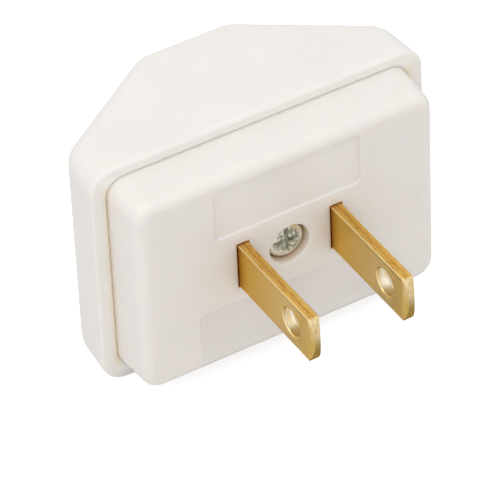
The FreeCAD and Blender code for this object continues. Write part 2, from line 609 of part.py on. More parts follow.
def make_bar(label, placement):
    """Stamped bar under the three clips of one pole, with a tab bent to the blade root."""
    body = new_body(label)
    far = f"({ARM_NEAR} + Sizes.bar_width)"
    reach = f"({CLIP_X} + Sizes.bar_end_margin)"
    tongue_end = f"({FRONT} - Sizes.bar_front_setback)"
    cut = "Sizes.bar_corner"
    tongue = "Sizes.bar_tongue_width / 2"
    leg_in = f"-{BLADE_SIDE_X}"
    leg_out = f"({leg_in} - Sizes.bar_leg_width)"
    relief = f"({leg_in} - Sizes.sheet_thickness)"
    tab_root = f"({ROOT_END} + Sizes.bar_tab_margin)"
    tab_end = f"({tab_root} - Sizes.bar_tab_length)"
    plan = [
        (leg_out, tab_end), (leg_in, tab_end), (leg_in, tab_root), (relief, tab_root),
        (relief, ARM_NEAR), (reach, ARM_NEAR),
        (reach, f"{far} - {cut}"), (f"{reach} - {cut}", far), (tongue, far),
        (tongue, tongue_end), (f"-({tongue})", tongue_end),
        (f"-({tongue})", far), (f"-({reach}) + {cut}", far), (f"-({reach})", f"{far} - {cut}"),
        (f"-({reach})", ARM_NEAR), (leg_out, ARM_NEAR),
    ]
    extrude(body, "Pad", "sheet", outline(body, "plan", "XY_Plane", plan, BAR_LOW_Z),
            "Sizes.sheet_thickness")
    tab = outline(body, "tab_outline", "XZ_Plane",
                  box_points(relief, "-(Sizes.bar_tab_drop)", leg_in, BAR_TOP_Z), f"-{tab_root}")
    pad = extrude(body, "Pad", "tab", tab, "Sizes.bar_tab_length")
    inner = number(leg_in)
    top = number(BAR_TOP_Z)
    round_edges(body, "bend", pad, lambda e: lies_at(e, "x", inner) and lies_at(e, "z", top),
                "Sizes.bar_bend_radius")
    holes = new_sketch(body, "clip_rivet_circles", "XY_Plane", BAR_LOW_Z)
    for x, y, _ in clip_places():
        add_circle(holes, (x, y), "Sizes.rivet_radius + Sizes.rivet_clearance")
    extrude(body, "Pocket", "clip_rivet_holes", holes, "Sizes.sheet_thickness", reverse=True)
    side = new_sketch(body, "blade_rivet_circle", "YZ_Plane", leg_in)
    add_circle(side, (f"{ROOT_END} - Sizes.rivet_setback", "0"), "Sizes.rivet_radius + Sizes.rivet_clearance")
    extrude(body, "Pocket", "blade_rivet_hole", side, "Sizes.sheet_thickness")
    body.Placement = placement
    return body


def clip_places():
    """Middle of each clip in plan, behind the middle of its outlet face, and its turn."""
    turn = number(SLANT_ANGLE)
    return [
        (f"-{CLIP_X}", CLIP_Y, turn),
        ("0", f"{FRONT} - Sizes.clip_setback", 0.0),
        (CLIP_X, CLIP_Y, -turn),
    ]


def make_clip(label, placement):
    """Spring clip: a flat base, a folded side and a bowed leaf above the plug blade."""
    body = new_body(label)
    half_gap = "Sizes.clip_gap / 2"
    half_mouth = "Sizes.clip_mouth / 2"
    thick = "Sizes.spring_thickness"
    half_width = "Sizes.clip_width / 2"
    half_length = "Sizes.clip_length / 2"
    base = outline(body, "base_outline", "YZ_Plane",
                   box_points(f"-({half_length})", f"-({half_gap}) - {thick}", half_length, f"-({half_gap})"),
                   f"-({half_width})")
    width = f"Sizes.clip_width + {thick}"
    extrude(body, "Pad", "base", base, width)
    pinch = "(Sizes.clip_pinch_length / 2)"
    leaf = outline(body, "leaf_outline", "YZ_Plane", [
        (f"-({half_length})", half_mouth), (f"-{pinch}", half_gap),
        (pinch, half_gap), (half_length, half_mouth),
        (half_length, f"{half_mouth} + {thick}"), (pinch, f"{half_gap} + {thick}"),
        (f"-{pinch}", f"{half_gap} + {thick}"), (f"-({half_length})", f"{half_mouth} + {thick}"),
    ], f"-({half_width})")
    extrude(body, "Pad", "leaf", leaf, width)
    fold = outline(body, "fold_outline", "XY_Plane",
                   box_points(half_width, "-(Sizes.clip_fold_length / 2)",
                              f"{half_width} + {thick}", "Sizes.clip_fold_length / 2"),
                   f"-({half_gap}) - {thick}")
    pad = extrude(body, "Pad", "fold", fold, f"Sizes.clip_gap + 2 * {thick}")
    along = Vector(0, 1, 0)
    bends = number(f"{half_width} + {thick}")
    level = number(f"-({half_gap}) - {thick}")
    fold_length = number("Sizes.clip_fold_length")
    round_edges(body, "fold_bend", pad,
                lambda e: runs_along(e, along) and lies_at(e, "x", bends)
                and lies_at(e, "z", level) and e.Length >= fold_length - CLOSE,
                f"{thick} / 2")
    hole = new_sketch(body, "rivet_circle", "XY_Plane", f"-({half_gap}) - {thick}")
    add_circle(hole, ("0", "0"), "Sizes.rivet_radius + Sizes.rivet_clearance")
    drilled = extrude(body, "Pocket", "rivet_hole", hole, thick, reverse=True)
    crease = number(pinch)
    round_edges(body, "leaf_bow", drilled,
                lambda e: runs_along(e, Vector(1, 0, 0)) and e.CenterOfMass.z > 0
                and abs(abs(e.CenterOfMass.y) - crease) < CLOSE,
                "Sizes.clip_bow_radius")
    body.Placement = placement
    return body


def make_screw():
    """Pan-head screw with a cross recess."""
    body = new_body("cover_screw")
    under = "Sizes.screw_recess_depth"
    top = f"({under} - Sizes.screw_head_height)"
    disc = new_sketch(body, "head_circle", "XZ_Plane", f"-{under}")
    add_circle(disc, ("0", "0"), "Sizes.screw_head_radius")
    blank = extrude(body, "Pad", "head", disc, "Sizes.screw_head_height")
    level = number(top)
    round_edges(body, "head_bevel", blank, lambda e: lies_at(e, "y", level), "Sizes.screw_head_bevel",
                kind="Chamfer")
    round_bar = new_sketch(body, "shank_circle", "XZ_Plane", f"-{under}")
    add_circle(round_bar, ("0", "0"), "Sizes.screw_shank_radius")
    shank = extrude(body, "Pad", "shank", round_bar, "Sizes.screw_length", reverse=True)
    end = number(f"{under} + Sizes.screw_length")
    round_edges(body, "point", shank, lambda e: lies_at(e, "y", end), "Sizes.screw_point", kind="Chamfer")
    long_arm = "Sizes.cross_length / 2"
    thin_arm = "Sizes.cross_width / 2"
    for name, wide, tall in (("flat", long_arm, thin_arm), ("upright", thin_arm, long_arm)):
        arm = outline(body, f"{name}_arm_outline", "XZ_Plane", middle_box(wide, tall), f"-{top}")
        extrude(body, "Pocket", f"{name}_arm", arm, "Sizes.cross_depth")
    return body


def primitive(kind, name, placement, **sizes):
    """One turned primitive with its sizes tied to the sheet."""
    shape = DOC.addObject(f"Part::{kind}", name)
    for key, expression in sizes.items():
        shape.setExpression(key, expression)
    shape.Placement = placement
    return shape


def make_rivets(label, places, length):
    """Group of equal rivets that stand a little proud at one end."""
    pieces = [
        primitive("Cylinder", f"{label}_{index}", placement, Radius="Sizes.rivet_radius", Height=length)
        for index, placement in enumerate(places)
    ]
    group = DOC.addObject("Part::MultiFuse", label)
    group.Shapes = pieces
    group.Label = label
    DOC.recompute()
    return group


def pole_turns():
    """Placement of each pole: the upper one as drawn, the lower one turned half round."""
    return {"upper": Placement(), "lower": Placement(Vector(), HALF_TURN)}


def make_contacts():
    """Blades, bars, clips and rivets of both poles."""
    parts = []
    clip_rivets = []
    blade_rivets = []
    side = -number("Sizes.pole_pitch / 2")
    for pole, turn in pole_turns().items():
        hand = "left" if pole == "upper" else "right"
        at_blade = Placement(Vector(side, 0, 0), Rotation())
        parts.append(make_blade(f"blade_{hand}", turn.multiply(at_blade)))
        parts.append(make_bar(f"contact_bar_{pole}", turn))
        for key, (x, y, angle) in zip(outlet_places(), clip_places()):
            spot = Vector(number(x), number(y), number(SLOT_Z))
            at_clip = Placement(spot, Rotation(Vector(0, 0, 1), angle))
            parts.append(make_clip(f"clip_{pole}_{key}", turn.multiply(at_clip)))
            foot = Placement(Vector(spot.x, spot.y, number(f"{BAR_LOW_Z} - Sizes.rivet_stand_out")), Rotation())
            clip_rivets.append(turn.multiply(foot))
        depth = number(f"{ROOT_END} - Sizes.rivet_setback")
        start = -number(f"{BLADE_SIDE_X} + Sizes.sheet_thickness + Sizes.rivet_stand_out")
        foot = Placement(Vector(start, depth, 0), Rotation(Vector(0, 1, 0), 90))
        blade_rivets.append(turn.multiply(foot))
    through_clip = "Sizes.rivet_stand_out + Sizes.sheet_thickness + Sizes.spring_thickness"
    through_blade = "Sizes.rivet_stand_out + Sizes.sheet_thickness + Sizes.blade_thickness"
    parts.append(make_rivets("clip_rivets", clip_rivets, through_clip))
    parts.append(make_rivets("blade_rivets", blade_rivets, through_blade))
    return parts


def check(parts):
    """Stop if any object failed or any sub-part has no sound shape."""
    for item in DOC.Objects:
        if "Invalid" in item.State or "Error" in item.State:
            raise ValueError(f"{item.Label} failed: {item.State}")
    for part in parts:
        if part.Shape.isNull() or not part.Shape.isValid() or part.Shape.Volume <= 0:
            raise ValueError(f"{part.Label} has no sound shape")


def main():
    """Build every sub-part and write one file for each."""
    parts = [make_body_shell(), make_rear_cover(), make_screw()] + make_contacts()
    DOC.recompute()
    check(parts)
    os.makedirs("parts", exist_ok=True)
    for part in parts:
        part.Shape.exportStep(os.path.join("parts", f"{part.Label}.step"))
        print(part.Label, len(part.Shape.Solids), round(part.Shape.Volume, 2))


main()
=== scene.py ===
import math

import bmesh
import bpy
from bpy.props import FloatProperty, FloatVectorProperty, PointerProperty
from mathutils import Matrix, Vector


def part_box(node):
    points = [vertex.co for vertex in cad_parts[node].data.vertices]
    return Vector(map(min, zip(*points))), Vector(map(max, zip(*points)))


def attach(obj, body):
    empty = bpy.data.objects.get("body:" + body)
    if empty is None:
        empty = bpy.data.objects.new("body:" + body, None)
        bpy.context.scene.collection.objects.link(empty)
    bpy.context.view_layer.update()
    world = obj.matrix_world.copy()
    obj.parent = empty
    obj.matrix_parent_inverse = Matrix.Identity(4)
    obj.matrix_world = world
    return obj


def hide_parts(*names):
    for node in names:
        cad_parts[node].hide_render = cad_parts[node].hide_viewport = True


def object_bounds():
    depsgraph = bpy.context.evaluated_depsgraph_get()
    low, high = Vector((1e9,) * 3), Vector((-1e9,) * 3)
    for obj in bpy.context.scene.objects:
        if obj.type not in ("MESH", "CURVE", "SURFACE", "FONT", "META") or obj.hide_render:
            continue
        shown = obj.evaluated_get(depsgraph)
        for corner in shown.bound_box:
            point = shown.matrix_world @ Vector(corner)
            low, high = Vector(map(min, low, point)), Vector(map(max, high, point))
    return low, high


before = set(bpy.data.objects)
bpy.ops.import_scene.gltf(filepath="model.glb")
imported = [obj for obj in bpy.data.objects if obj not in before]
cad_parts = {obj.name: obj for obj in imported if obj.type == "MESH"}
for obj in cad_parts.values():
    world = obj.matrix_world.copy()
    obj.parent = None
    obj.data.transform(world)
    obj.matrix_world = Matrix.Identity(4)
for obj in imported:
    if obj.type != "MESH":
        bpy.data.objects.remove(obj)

bl_info = {
    "name": "Triangular Socket Adapter",
    "version": (1, 0, 0),
    "blender": (4, 5, 0),
    "location": "3D View > Sidebar > Adapter",
    "description": "Makes the moulded shell, its rear cover, the screw, the blades and the stage",
    "category": "Object",
}

MM = 0.001
MERGE = 1e-7    # corners nearer than this become one
CLOSE = 1e-6    # slack when places are compared
SHARP = math.radians(48)    # edges turned further than this look crisp
BLADE_SHARP = math.radians(21)
CRISP = math.radians(30)    # edges of a blade's blank turned further are rounded
CORNERS = ((-1, -1), (1, -1), (1, 1), (-1, 1))

# Profiles as outward offset and depth, each a share of the setting it belongs to.
LIP = ((1.0, 0.0), (0.8, 0.04), (0.6, 0.14), (0.42, 0.29), (0.2, 0.58), (0.0, 1.0))
PANEL_STEP = ((1.0, 0.0), (0.35, 0.12), (0.0, 0.35), (-0.1, 0.7), (-0.6, 0.95), (-1.4, 1.0))
DOME = ((0.28, 0.012), (0.55, 0.07), (0.78, 0.17), (0.92, 0.30), (0.985, 0.45), (1.0, 0.60))
# Steps down into the cross recess: how much it narrows, and the share of its depth.
CROSS_STEPS = ((0.95, 6 / 85), (0.9, 30 / 85), (0.62, 35 / 85), (0.35, 14 / 85))

# Scales of the patterns in the materials, per metre.
FLOW_CLOUDS, FLOW_WAVES, MATT_PATCHES, MOULD_GRAIN = 130.0, 160.0, 700.0, 6500.0
FACE_GRAIN, CUT_STREAKS, CUT_SPECKS = 9000.0, 6500.0, 9500.0
HOLE_RINGS, TIP_RUBS, ROLL_MARKS, TARNISH = 2600.0, 4200.0, 7000.0, 900.0
ZINC_PATCHES, CROSS_PATCHES, ZINC_PITS, ZINC_GRAIN = 2700.0, 1700.0, 2800.0, 6000.0
FLOOR_CLOUDS = 3.0

# Lamps: place and width in metres.
KEY_PLACE, KEY_WIDTH = (-0.22, -0.05, 0.62), 0.32
FRONT_PLACE, FRONT_WIDTH = (-0.27, -0.62, 0.28), 0.14

CAD_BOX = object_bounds()
SHELL_LOW, SHELL_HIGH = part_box("body_shell")
COVER_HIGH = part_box("rear_cover")[1]
BLADE_LOW, BLADE_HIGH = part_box("blade_left")
SCREW_LOW, SCREW_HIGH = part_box("cover_screw")


def number(name, description, value, **limits):
    """Property for one number."""
    return FloatProperty(name=name, description=description, default=value, **limits)


def size(name, description, length, least=0.0):
    """Property for one length, given in millimetres."""
    return number(name, description, length * MM, min=least * MM, unit="LENGTH", precision=5)


def angle(name, description, degrees):
    """Property for one angle."""
    return number(name, description, math.radians(degrees), subtype="ANGLE")


def share(name, description, value):
    """Property for a number between nought and one."""
    return number(name, description, value, min=0.0, max=1.0, subtype="FACTOR")


def matt(value):
    """Property for the roughness of a surface."""
    return share("Roughness", "How matt the surface is", value)


def colour(name, description, value):
    """Property for one colour."""
    return FloatVectorProperty(name=name, description=description, default=value, size=3,
                               min=0.0, max=1.0, subtype="COLOR")


class AdapterShellSettings(bpy.types.PropertyGroup):
    half_width: size("Half width", "Middle to the side of the rim", 22.5)
    half_height: size("Half height", "Middle to the flat top", SHELL_HIGH.z / MM)
    rim: size("Rim", "Cover's blade side to the rim", SHELL_LOW.y / MM)
    shoulder: size("Shoulder", "Depth at which the straight sides end", 13.4)
    front: size("Front", "Depth of the front outlet face", SHELL_HIGH.y / MM)
    shoulder_half: size("Shoulder half width", "Half width at that depth", 21.946)
    front_half: size("Front half width", "Half width of the front face", 6.15)
    side_corner: size("Side corner", "Radius from side to slanted face", 3.8)
    front_corner: size("Front corner", "Radius from slanted face to front", 3.5)
    outline: size("Outline", "Radius of the top and bottom edges", 3.1)
    rim_edge: size("Rim edge", "Radius of the rim's outer edge", 0.4)
    mouth_x: size("Mouth half width", "Half the opening's width at its lip", 20.326)
    mouth_z: size("Mouth half height", "Half the opening's height at its lip", 14.152)
    mouth_gap: size("Mouth gap", "How much it widens down to the ledge", 0.21)
    mouth_corner: size("Mouth corner", "Radius of the opening's corners", 1.85)
    mouth_roll: size("Mouth roll", "Width of the rim's inner rounding", 0.8)
    lip: size("Lip", "Depth of the rim's inner rounding", 0.38)
    seat: size("Seat", "Rim to the ledge", 2.6)
    ledge: size("Ledge", "Width of the ledge behind the cover", 1.1)
    wall: size("Wall", "Wall behind the outlet faces", 2.2)
    slot_length: size("Slot length", "Length of an outlet slot", 7.4)
    slot_height: size("Slot height", "Height of an outlet slot", 2.2)
    slot_lead: size("Slot lead-in", "Bevel round an outlet slot", 0.45)
    slot_corner: size("Slot corner", "Radius of a slot's corners", 0.2)
    pole_pitch: size("Pole pitch", "Distance of an outlet's two slots", 12.7)
    web: size("Web", "Thickness of the web between the poles", 1.2)
    web_setback: size("Web setback", "Ledge to the web", 1.9)
    boss: size("Boss", "Radius of the screw boss", 3.0)
    pilot: size("Pilot hole", "Radius of the boss's hole for the screw", 1.6)
    pilot_depth: size("Pilot depth", "Depth of that hole", 5.4)
    tint: colour("Colour", "Colour of the moulded shell", (0.90, 0.865, 0.83))
    # Both joint colours are painted light: a warm glow painted into the joint's crease, and a
    # lighter tone painted where it runs level.
    joint_painted_glow: colour("Joint colour", "Warmer tone in the joint", (0.97, 0.85, 0.67))
    joint_painted_highlight: colour("Level joint", "Lighter tone where the joint runs level", (1.0, 0.97, 0.90))
    roughness: matt(0.42)


class AdapterCoverSettings(bpy.types.PropertyGroup):
    half_width: size("Half width", "Half width of the blade side", 20.025)
    half_height: size("Half height", "Half height of the blade side", 13.85)
    end_width: size("End half width", "Half width at the ledge", COVER_HIGH.x / MM)
    end_height: size("End half height", "Half height at the ledge", COVER_HIGH.z / MM)
    depth: size("Depth", "Blade side to the ledge", COVER_HIGH.y / MM)
    corner: size("Corner", "Radius of the four long edges", 2.4)
    face_edge: size("Face edge", "Radius of that side's edge", 1.3)
    wall: size("Wall", "Thickness of the side walls", 1.8)
    floor: size("Floor", "Wall that holds the blades", 2.4)
    recess: size("Screw recess", "Radius of the recess round the screw head", 2.68)
    recess_depth: size("Recess depth", "Depth of that recess", 2.8)
    recess_roll: size("Recess edge", "Radius of the recess's edge", 0.36)
    tube: size("Tube", "Radius of the tube round the screw", 4.1)
    screw_hole: size("Screw hole", "Radius of the hole for the screw", 1.62)
    slot_gap: size("Blade gap", "Clearance round a blade", 0.03)
    slot_edge: size("Blade slot edge", "Bevel round a blade slot", 0.06)
    slot_corner: size("Blade slot corner", "Radius of a blade slot's corners", 0.12)
    inner_corner: size("Inner corner", "Radius of the corners inside the cover", 1.0)
    upper_half: size("Upper panel half width", "Half its width", 9.9)
    upper_low: size("Upper panel bottom", "Height of its lower edge", 5.05)
    lower_half: size("Lower panel half width", "Half its width", 12.5)
    lower_high: size("Lower panel top", "Middle down to its upper edge", 5.4)
    panel_far: size("Panel end", "Middle to the far edge of either panel", 12.1)
    panel_corner: size("Panel corner", "Radius of a panel's corners", 0.6)
    panel_soft: size("Panel edge", "Width of a panel's soft edge", 0.16)
    upper_depth: size("Upper panel depth", "How deep the upper panel is sunk", 0.3)
    lower_depth: size("Lower panel depth", "How deep the lower panel is sunk", 0.13)
    lower_end: share("Lower panel end", "Share of that depth left at its lower edge", 0.06)
    tint: colour("Colour", "Colour of the moulded cover", (0.90, 0.86, 0.82))
    # Both joint colours are painted light: a warm glow painted into the joint's crease, and a
    # lighter tone painted where it runs level.
    joint_painted_glow: colour("Joint colour", "Warmer tone in the joint", (0.97, 0.86, 0.70))
    joint_painted_highlight: colour("Level joint", "Lighter tone where the joint runs level", (1.0, 0.97, 0.90))
    # Painted shade down in the screw recess.
    recess_painted_shade: colour("Recess colour", "Warmer tone down in the screw recess", (0.78, 0.58, 0.35))
    # Darker tone over the lower panel.
    panel_tint: colour("Lower panel colour", "Duller tone of the lower panel", (0.80, 0.765, 0.735))
    groove_tint: colour("Groove colour", "Shaded tone right at the blades", (0.30, 0.12, 0.04))
    # Painted glow of the brass's warm light on the plastic round each blade slot.
    slot_painted_glow: colour("Slot colour", "Warm tone at the slots' edges", (0.93, 0.66, 0.48))
    roughness: matt(0.42)


class AdapterBladeSettings(bpy.types.PropertyGroup):
    pitch: size("Pitch", "Distance between the two blades", 12.7)
    thickness: size("Thickness", "Thickness of a blade", (BLADE_HIGH.x - BLADE_LOW.x) / MM)
    half_width: size("Half width", "Half the width of a blade", 3.15)
    length: size("Length", "Length of a blade outside the cover", -BLADE_LOW.y / MM)
    root_start: size("Root start", "Depth at which the wider root starts", 2.4)
    root_end: size("Root end", "Depth at which the root ends", BLADE_HIGH.y / MM)
    root_half: size("Root half height", "Half the height of the root", BLADE_HIGH.z / MM)
    bevel_length: size("Bevel length", "Length of the bevel and of the curved end", 0.9)
    bevel_depth: size("Bevel depth", "Depth of the bevel on each face", 0.38)
    edge: size("Edge", "Rounding of the long edges", 0.19)
    hole: size("Hole", "Radius of the hole near the tip", 1.8)
    hole_place: size("Hole place", "Cover face to the hole", 11.8)
    hole_roll: size("Hole edge", "Radius of its rounded edge", 0.22)
    rivet_hole: size("Rivet hole", "Radius of the hole for the rivet", 1.04)
    rivet_place: size("Rivet place", "Depth of the rivet hole", 5.7)
    rivet_roll: size("Rivet hole edge", "Radius of its rounded edge", 0.05)
    tint: colour("Brass", "Colour of the blade faces", (0.78, 0.60, 0.30))
    # Painted shade near the cover, towards the tip and on the tip's lower part.
    painted_half_shade: colour("Root brass", "Deeper tone near the cover", (0.71, 0.45, 0.105))
    deep_tint: colour("Deep brass", "Brown of the brass in shaded places", (0.28, 0.10, 0.006))
    # The end's two tones are painted shade below and a painted highlight above.
    end_painted_shade: colour("End brass", "Duller tone of the end's lower half", (0.36, 0.24, 0.09))
    end_painted_highlight: colour("End light", "Bright tone of the end's upper half", (0.88, 0.70, 0.40))
    # Painted highlight on the wall of the hole.
    bore_painted_highlight: colour("Bore light", "Bright tone of the hole's wall", (1.0, 0.96, 0.80))
    edge_tint: colour("Cut edge", "Colour of the sheared edges", (0.76, 0.48, 0.13))
    # Painted highlight on the rounded edges and bevels.
    edge_painted_highlight: colour("Polished brass", "Colour of rubbed edges and bevels", (0.96, 0.77, 0.38))
    roughness: matt(0.34)


class AdapterScrewSettings(bpy.types.PropertyGroup):
    crown: size("Crown", "Depth of the head's crown", SCREW_LOW.y / MM)
    seat: size("Seat", "Depth of the recess floor", 2.8)
    end: size("End", "Depth of the screw's end", SCREW_HIGH.y / MM)
    head: size("Head", "Radius of the head", SCREW_HIGH.x / MM)
    crown_flat: size("Crown flat", "Radius of the flat part of the crown", 1.98)
    head_edge: size("Head edge", "Width of the bevel under the head", 0.1)
    head_rise: size("Head edge height", "Height of the bevel under the head", 0.12)
    shank: size("Shank", "Radius of the shank", 1.5)
    point: size("Point", "Bevel of the screw's end", 0.7)
    cross_length: size("Cross length", "Half the length of the cross", 1.88)
    cross_width: size("Cross width", "Half the width of an arm", 0.3)
    cross_depth: size("Cross depth", "Depth of the cross", 0.85)
    cross_corner: size("Cross corner", "Radius of the cross's corners", 0.1)
    tint: colour("Plating", "Colour of the zinc plating", (0.92, 0.90, 0.80))
    dull_tint: colour("Dull plating", "Colour of the dull patches", (0.35, 0.36, 0.26))
    roughness: matt(0.26)


class AdapterContactSettings(bpy.types.PropertyGroup):
    bar_tint: colour("Bar", "Colour of the contact bars", (0.70, 0.45, 0.14))
    clip_tint: colour("Clip", "Colour of the spring clips", (0.74, 0.50, 0.18))
    rivet_tint: colour("Rivet", "Colour of the rivets", (0.76, 0.53, 0.22))
    roughness: matt(0.36)


class AdapterStageSettings(bpy.types.PropertyGroup):
    sky: number("Sky light", "Strength of the light from all sides", 0.78, min=0.0)
    key: number("Key light", "Power of the large lamp above", 0.85, min=0.0, unit="POWER")
    fill: number("Front light", "Power of the lamp in front", 0.30, min=0.0, unit="POWER")
    glow: number("Floor glow", "Light that the camera sees on the white floor", 0.62, min=0.0)
    floor_tint: colour("Floor", "Colour of the floor", (0.80, 0.80, 0.80))
    floor_reach: size("Floor reach", "Radius of the floor", 1500)
    azimuth: angle("Azimuth", "Turn of the camera round the object", -29.2)
    elevation: angle("Elevation", "Height of the camera over the horizon", 40.51)
    roll: angle("Roll", "Tilt of the camera about its own axis", -2.642)
    aim: size("Aim", "Depth of the point that the camera turns about", 5.7)
    distance: size("Distance", "Camera to that point", 524)
    offset_x: size("Offset across", "Camera's place to the right", -1.796, -100)
    offset_y: size("Offset up", "Camera's place upwards", -3.757, -100)
    lens: number("Lens", "Focal length in millimetres", 320.2)


# Tools for shapes. A place is a matrix whose own +Y runs into the material.

def lay(x=0.0, y=0.0, z=0.0, turn=0.0):
    """Place matrix at a point, turned about Z."""
    return Matrix.Translation((x, y, z)) @ Matrix.Rotation(turn, 4, "Z")


def parts(result, kind):
    """The corners or edges that an operator made."""
    return [item for item in result["geom"] if isinstance(item, kind)]


def thicken(bm, faces, way):
    """Draw flat faces out into a closed block and return its far corners."""
    verts = parts(bmesh.ops.extrude_face_region(bm, geom=faces), bmesh.types.BMVert)
    bmesh.ops.translate(bm, vec=way, verts=verts)
    bmesh.ops.recalc_face_normals(bm, faces=bm.faces)
    return verts


def prism(bm, points, way):
    """Closed block from a flat outline and the way it is drawn out."""
    return thicken(bm, [bm.faces.new([bm.verts.new(point) for point in points])], way)


def wedge(bm, right, half_height):
    """Closed block, even on both sides, from the right half of its plan, rear end first."""
    left = [(-x, y) for x, y in reversed(right)]
    plan = (left[-1], *right, *left[:-1])
    prism(bm, [(x, y, -half_height) for x, y in plan], (0, 0, 2 * half_height))


def bevel(bm, geom, offset, segments, affect="EDGES"):
    """Bevel edges or corners to a round profile."""
    bmesh.ops.bevel(bm, geom=geom, offset=offset, offset_type="OFFSET", segments=segments,
                    profile=0.5, affect=affect, material=-1, clamp_overlap=False, loop_slide=True)


def round_edges(bm, test, radius, segments):
    """Round the edges that a test picks, all of one angle, to a radius."""
    edges = [edge for edge in bm.edges if test(edge)]
    if not edges:
        raise RuntimeError("no edge found to round")
    turn = edges[0].calc_face_angle()
    bevel(bm, edges, radius * math.tan(turn / 2), segments)


def level_at(edge, axis, *places):
    """True for an edge that lies at one of some coordinates of an axis."""
    return any(all(abs(vert.co[axis] - place) < CLOSE for vert in edge.verts) for place in places)


def upright_at(edge, depth):
    """True for an edge along Z at one depth."""
    way = edge.verts[0].co - edge.verts[1].co
    return level_at(edge, 1, depth) and abs(way.x) < CLOSE and abs(way.z) > MM


def open_face(bm, point, normal=(0, 1, 0)):
    """Take away the largest face through a point across a normal and return its edges."""
    point, normal = Vector(point), Vector(normal).normalized()
    faces = [face for face in bm.faces
             if all(abs((vert.co - point).dot(normal)) < CLOSE for vert in face.verts)]
    if not faces:
        raise RuntimeError("no face found to open")
    face = max(faces, key=lambda item: item.calc_area())
    edges = list(face.edges)
    bmesh.ops.delete(bm, geom=[face], context="FACES_ONLY")
    return edges


def fill(bm, *loops):
    """Close the flat region between loops of edges."""
    edges = [edge for loop in loops for edge in loop]
    bmesh.ops.triangle_fill(bm, use_beauty=True, use_dissolve=False, edges=edges)


def pierce(bm, near, far, openings):
    """Close two faces round the openings that run from one to the other."""
    for border, loops in zip((near, far), zip(*openings)):
        fill(bm, border, *loops)


def draw_out(bm, loop, step, place):
    """Draw walls from a loop of edges by one step and return the new loop."""
    result = bmesh.ops.extrude_edge_only(bm, edges=loop)
    verts = parts(result, bmesh.types.BMVert)
    known = set(verts)
    edges = [edge for edge in parts(result, bmesh.types.BMEdge) if known.issuperset(edge.verts)]
    bmesh.ops.transform(bm, matrix=step, space=place.inverted(), verts=verts)
    return edges


def follow(bm, loop, halves, profile, place):
    """Draw walls from a loop along steps of outward offset and depth."""
    for (out, deep), (next_out, next_deep) in zip(profile, profile[1:]):
        grow = Matrix.Diagonal(((halves[0] + next_out) / (halves[0] + out), 1.0,
                                (halves[1] + next_out) / (halves[1] + out), 1.0))
        loop = draw_out(bm, loop, lay(y=next_deep - deep) @ grow, place)
    return loop


def opening(bm, halves, corner, profile, place, segments=6):
    """Rounded rectangular opening: its first loop and its last loop."""
    out, deep = profile[0]
    wide, tall = halves[0] + out, halves[1] + out
    before = set(bm.faces)
    verts = [bm.verts.new(place @ Vector((x * wide, deep, z * tall))) for x, z in CORNERS]
    face = bm.faces.new(verts)
    if corner:
        bevel(bm, verts, corner + max(out, 0.0), segments, affect="VERTICES")
        face = next(item for item in bm.faces if item not in before)
    first = list(face.edges)
    bmesh.ops.delete(bm, geom=[face], context="FACES_ONLY")
    return first, follow(bm, first, halves, profile, place)


def round_opening(bm, radius, profile, place, segments=64):
    """Round opening: its first loop and its last loop."""
    out, deep = profile[0]
    start = place @ lay(y=deep) @ Matrix.Rotation(math.radians(90), 4, "X")
    result = bmesh.ops.create_circle(bm, cap_ends=False, segments=segments, radius=radius + out,
                                     matrix=start)
    first = list({edge for vert in result["verts"] for edge in vert.link_edges})
    return first, follow(bm, first, (radius, radius), profile, place)


def roll(radius, steps):
    """Profile of a rounded edge: steps from the flat face into the wall."""
    turns = [math.radians(90) * step / steps for step in range(steps + 1)]
    return [(radius * (1 - math.sin(turn)), radius * (1 - math.cos(turn))) for turn in turns]


def place_object(name, data):
    """Object with its data, linked to the scene."""
    item = bpy.data.objects.new(name, data)
    bpy.context.scene.collection.objects.link(item)
    return item


def mesh_object(name, bm, material):
    """Object with the finished mesh and its material."""
    mesh = bpy.data.meshes.new(name)
    bm.to_mesh(mesh)
    bm.free()
    mesh.materials.append(material)
    return place_object(name, mesh)


def finish_piece(name, bm, node, material, sharp=SHARP):
    """Turn a mesh into the piece that stands for a CAD node."""
    bmesh.ops.remove_doubles(bm, verts=bm.verts, dist=MERGE)
    bmesh.ops.recalc_face_normals(bm, faces=bm.faces)
    for face in bm.faces:
        face.smooth = True
    for edge in bm.edges:
        edge.smooth = len(edge.link_faces) == 2 and edge.calc_face_angle() < sharp
    piece = mesh_object(name, bm, material)
    even = piece.modifiers.new("even_normals", "WEIGHTED_NORMAL")
    even.keep_sharp = True
    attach(piece, "root")
    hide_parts(node)


# Tools for materials.

class Nodes:
    """Short ways to add and join the nodes of one tree."""

    def __init__(self, tree):
        self.tree = tree

    def find(self, kind):
        """The tree's first node of a kind."""
        return next(node for node in self.tree.nodes if node.type == kind)

    def feed(self, node, inputs):
        """Join outputs to the inputs of a node, or give them values."""
        for name, value in inputs.items():
            if isinstance(value, bpy.types.NodeSocket):
                self.tree.links.new(value, node.inputs[name])
            else:
                node.inputs[name].default_value = value

    def add(self, kind, inputs=None, **settings):
        """Add a shader node with its settings and its inputs."""
        node = self.tree.nodes.new("ShaderNode" + kind)
        for name, value in settings.items():
            setattr(node, name, value)
        self.feed(node, inputs or {})
        return node

    def remap(self, source, low, high, new_low=0.0, new_high=1.0):
        """Map one range of values to another."""
        node = self.add("MapRange", {"Value": source, "From Min": low, "From Max": high,
                                     "To Min": new_low, "To Max": new_high})
        return node.outputs["Result"]

    def fall(self, source, low, high, top=1.0):
        """Fall from a top value to nought over a range."""
        return self.remap(source, low, high, top, 0.0)

    def maths(self, operation, first, second=0.0):
        """One sum, product or the like."""
        node = self.add("Math", {0: first, 1: second}, operation=operation)
        return node.outputs["Value"]

    def times(self, first, second):
        """Product of two values."""
        return self.maths("MULTIPLY", first, second)


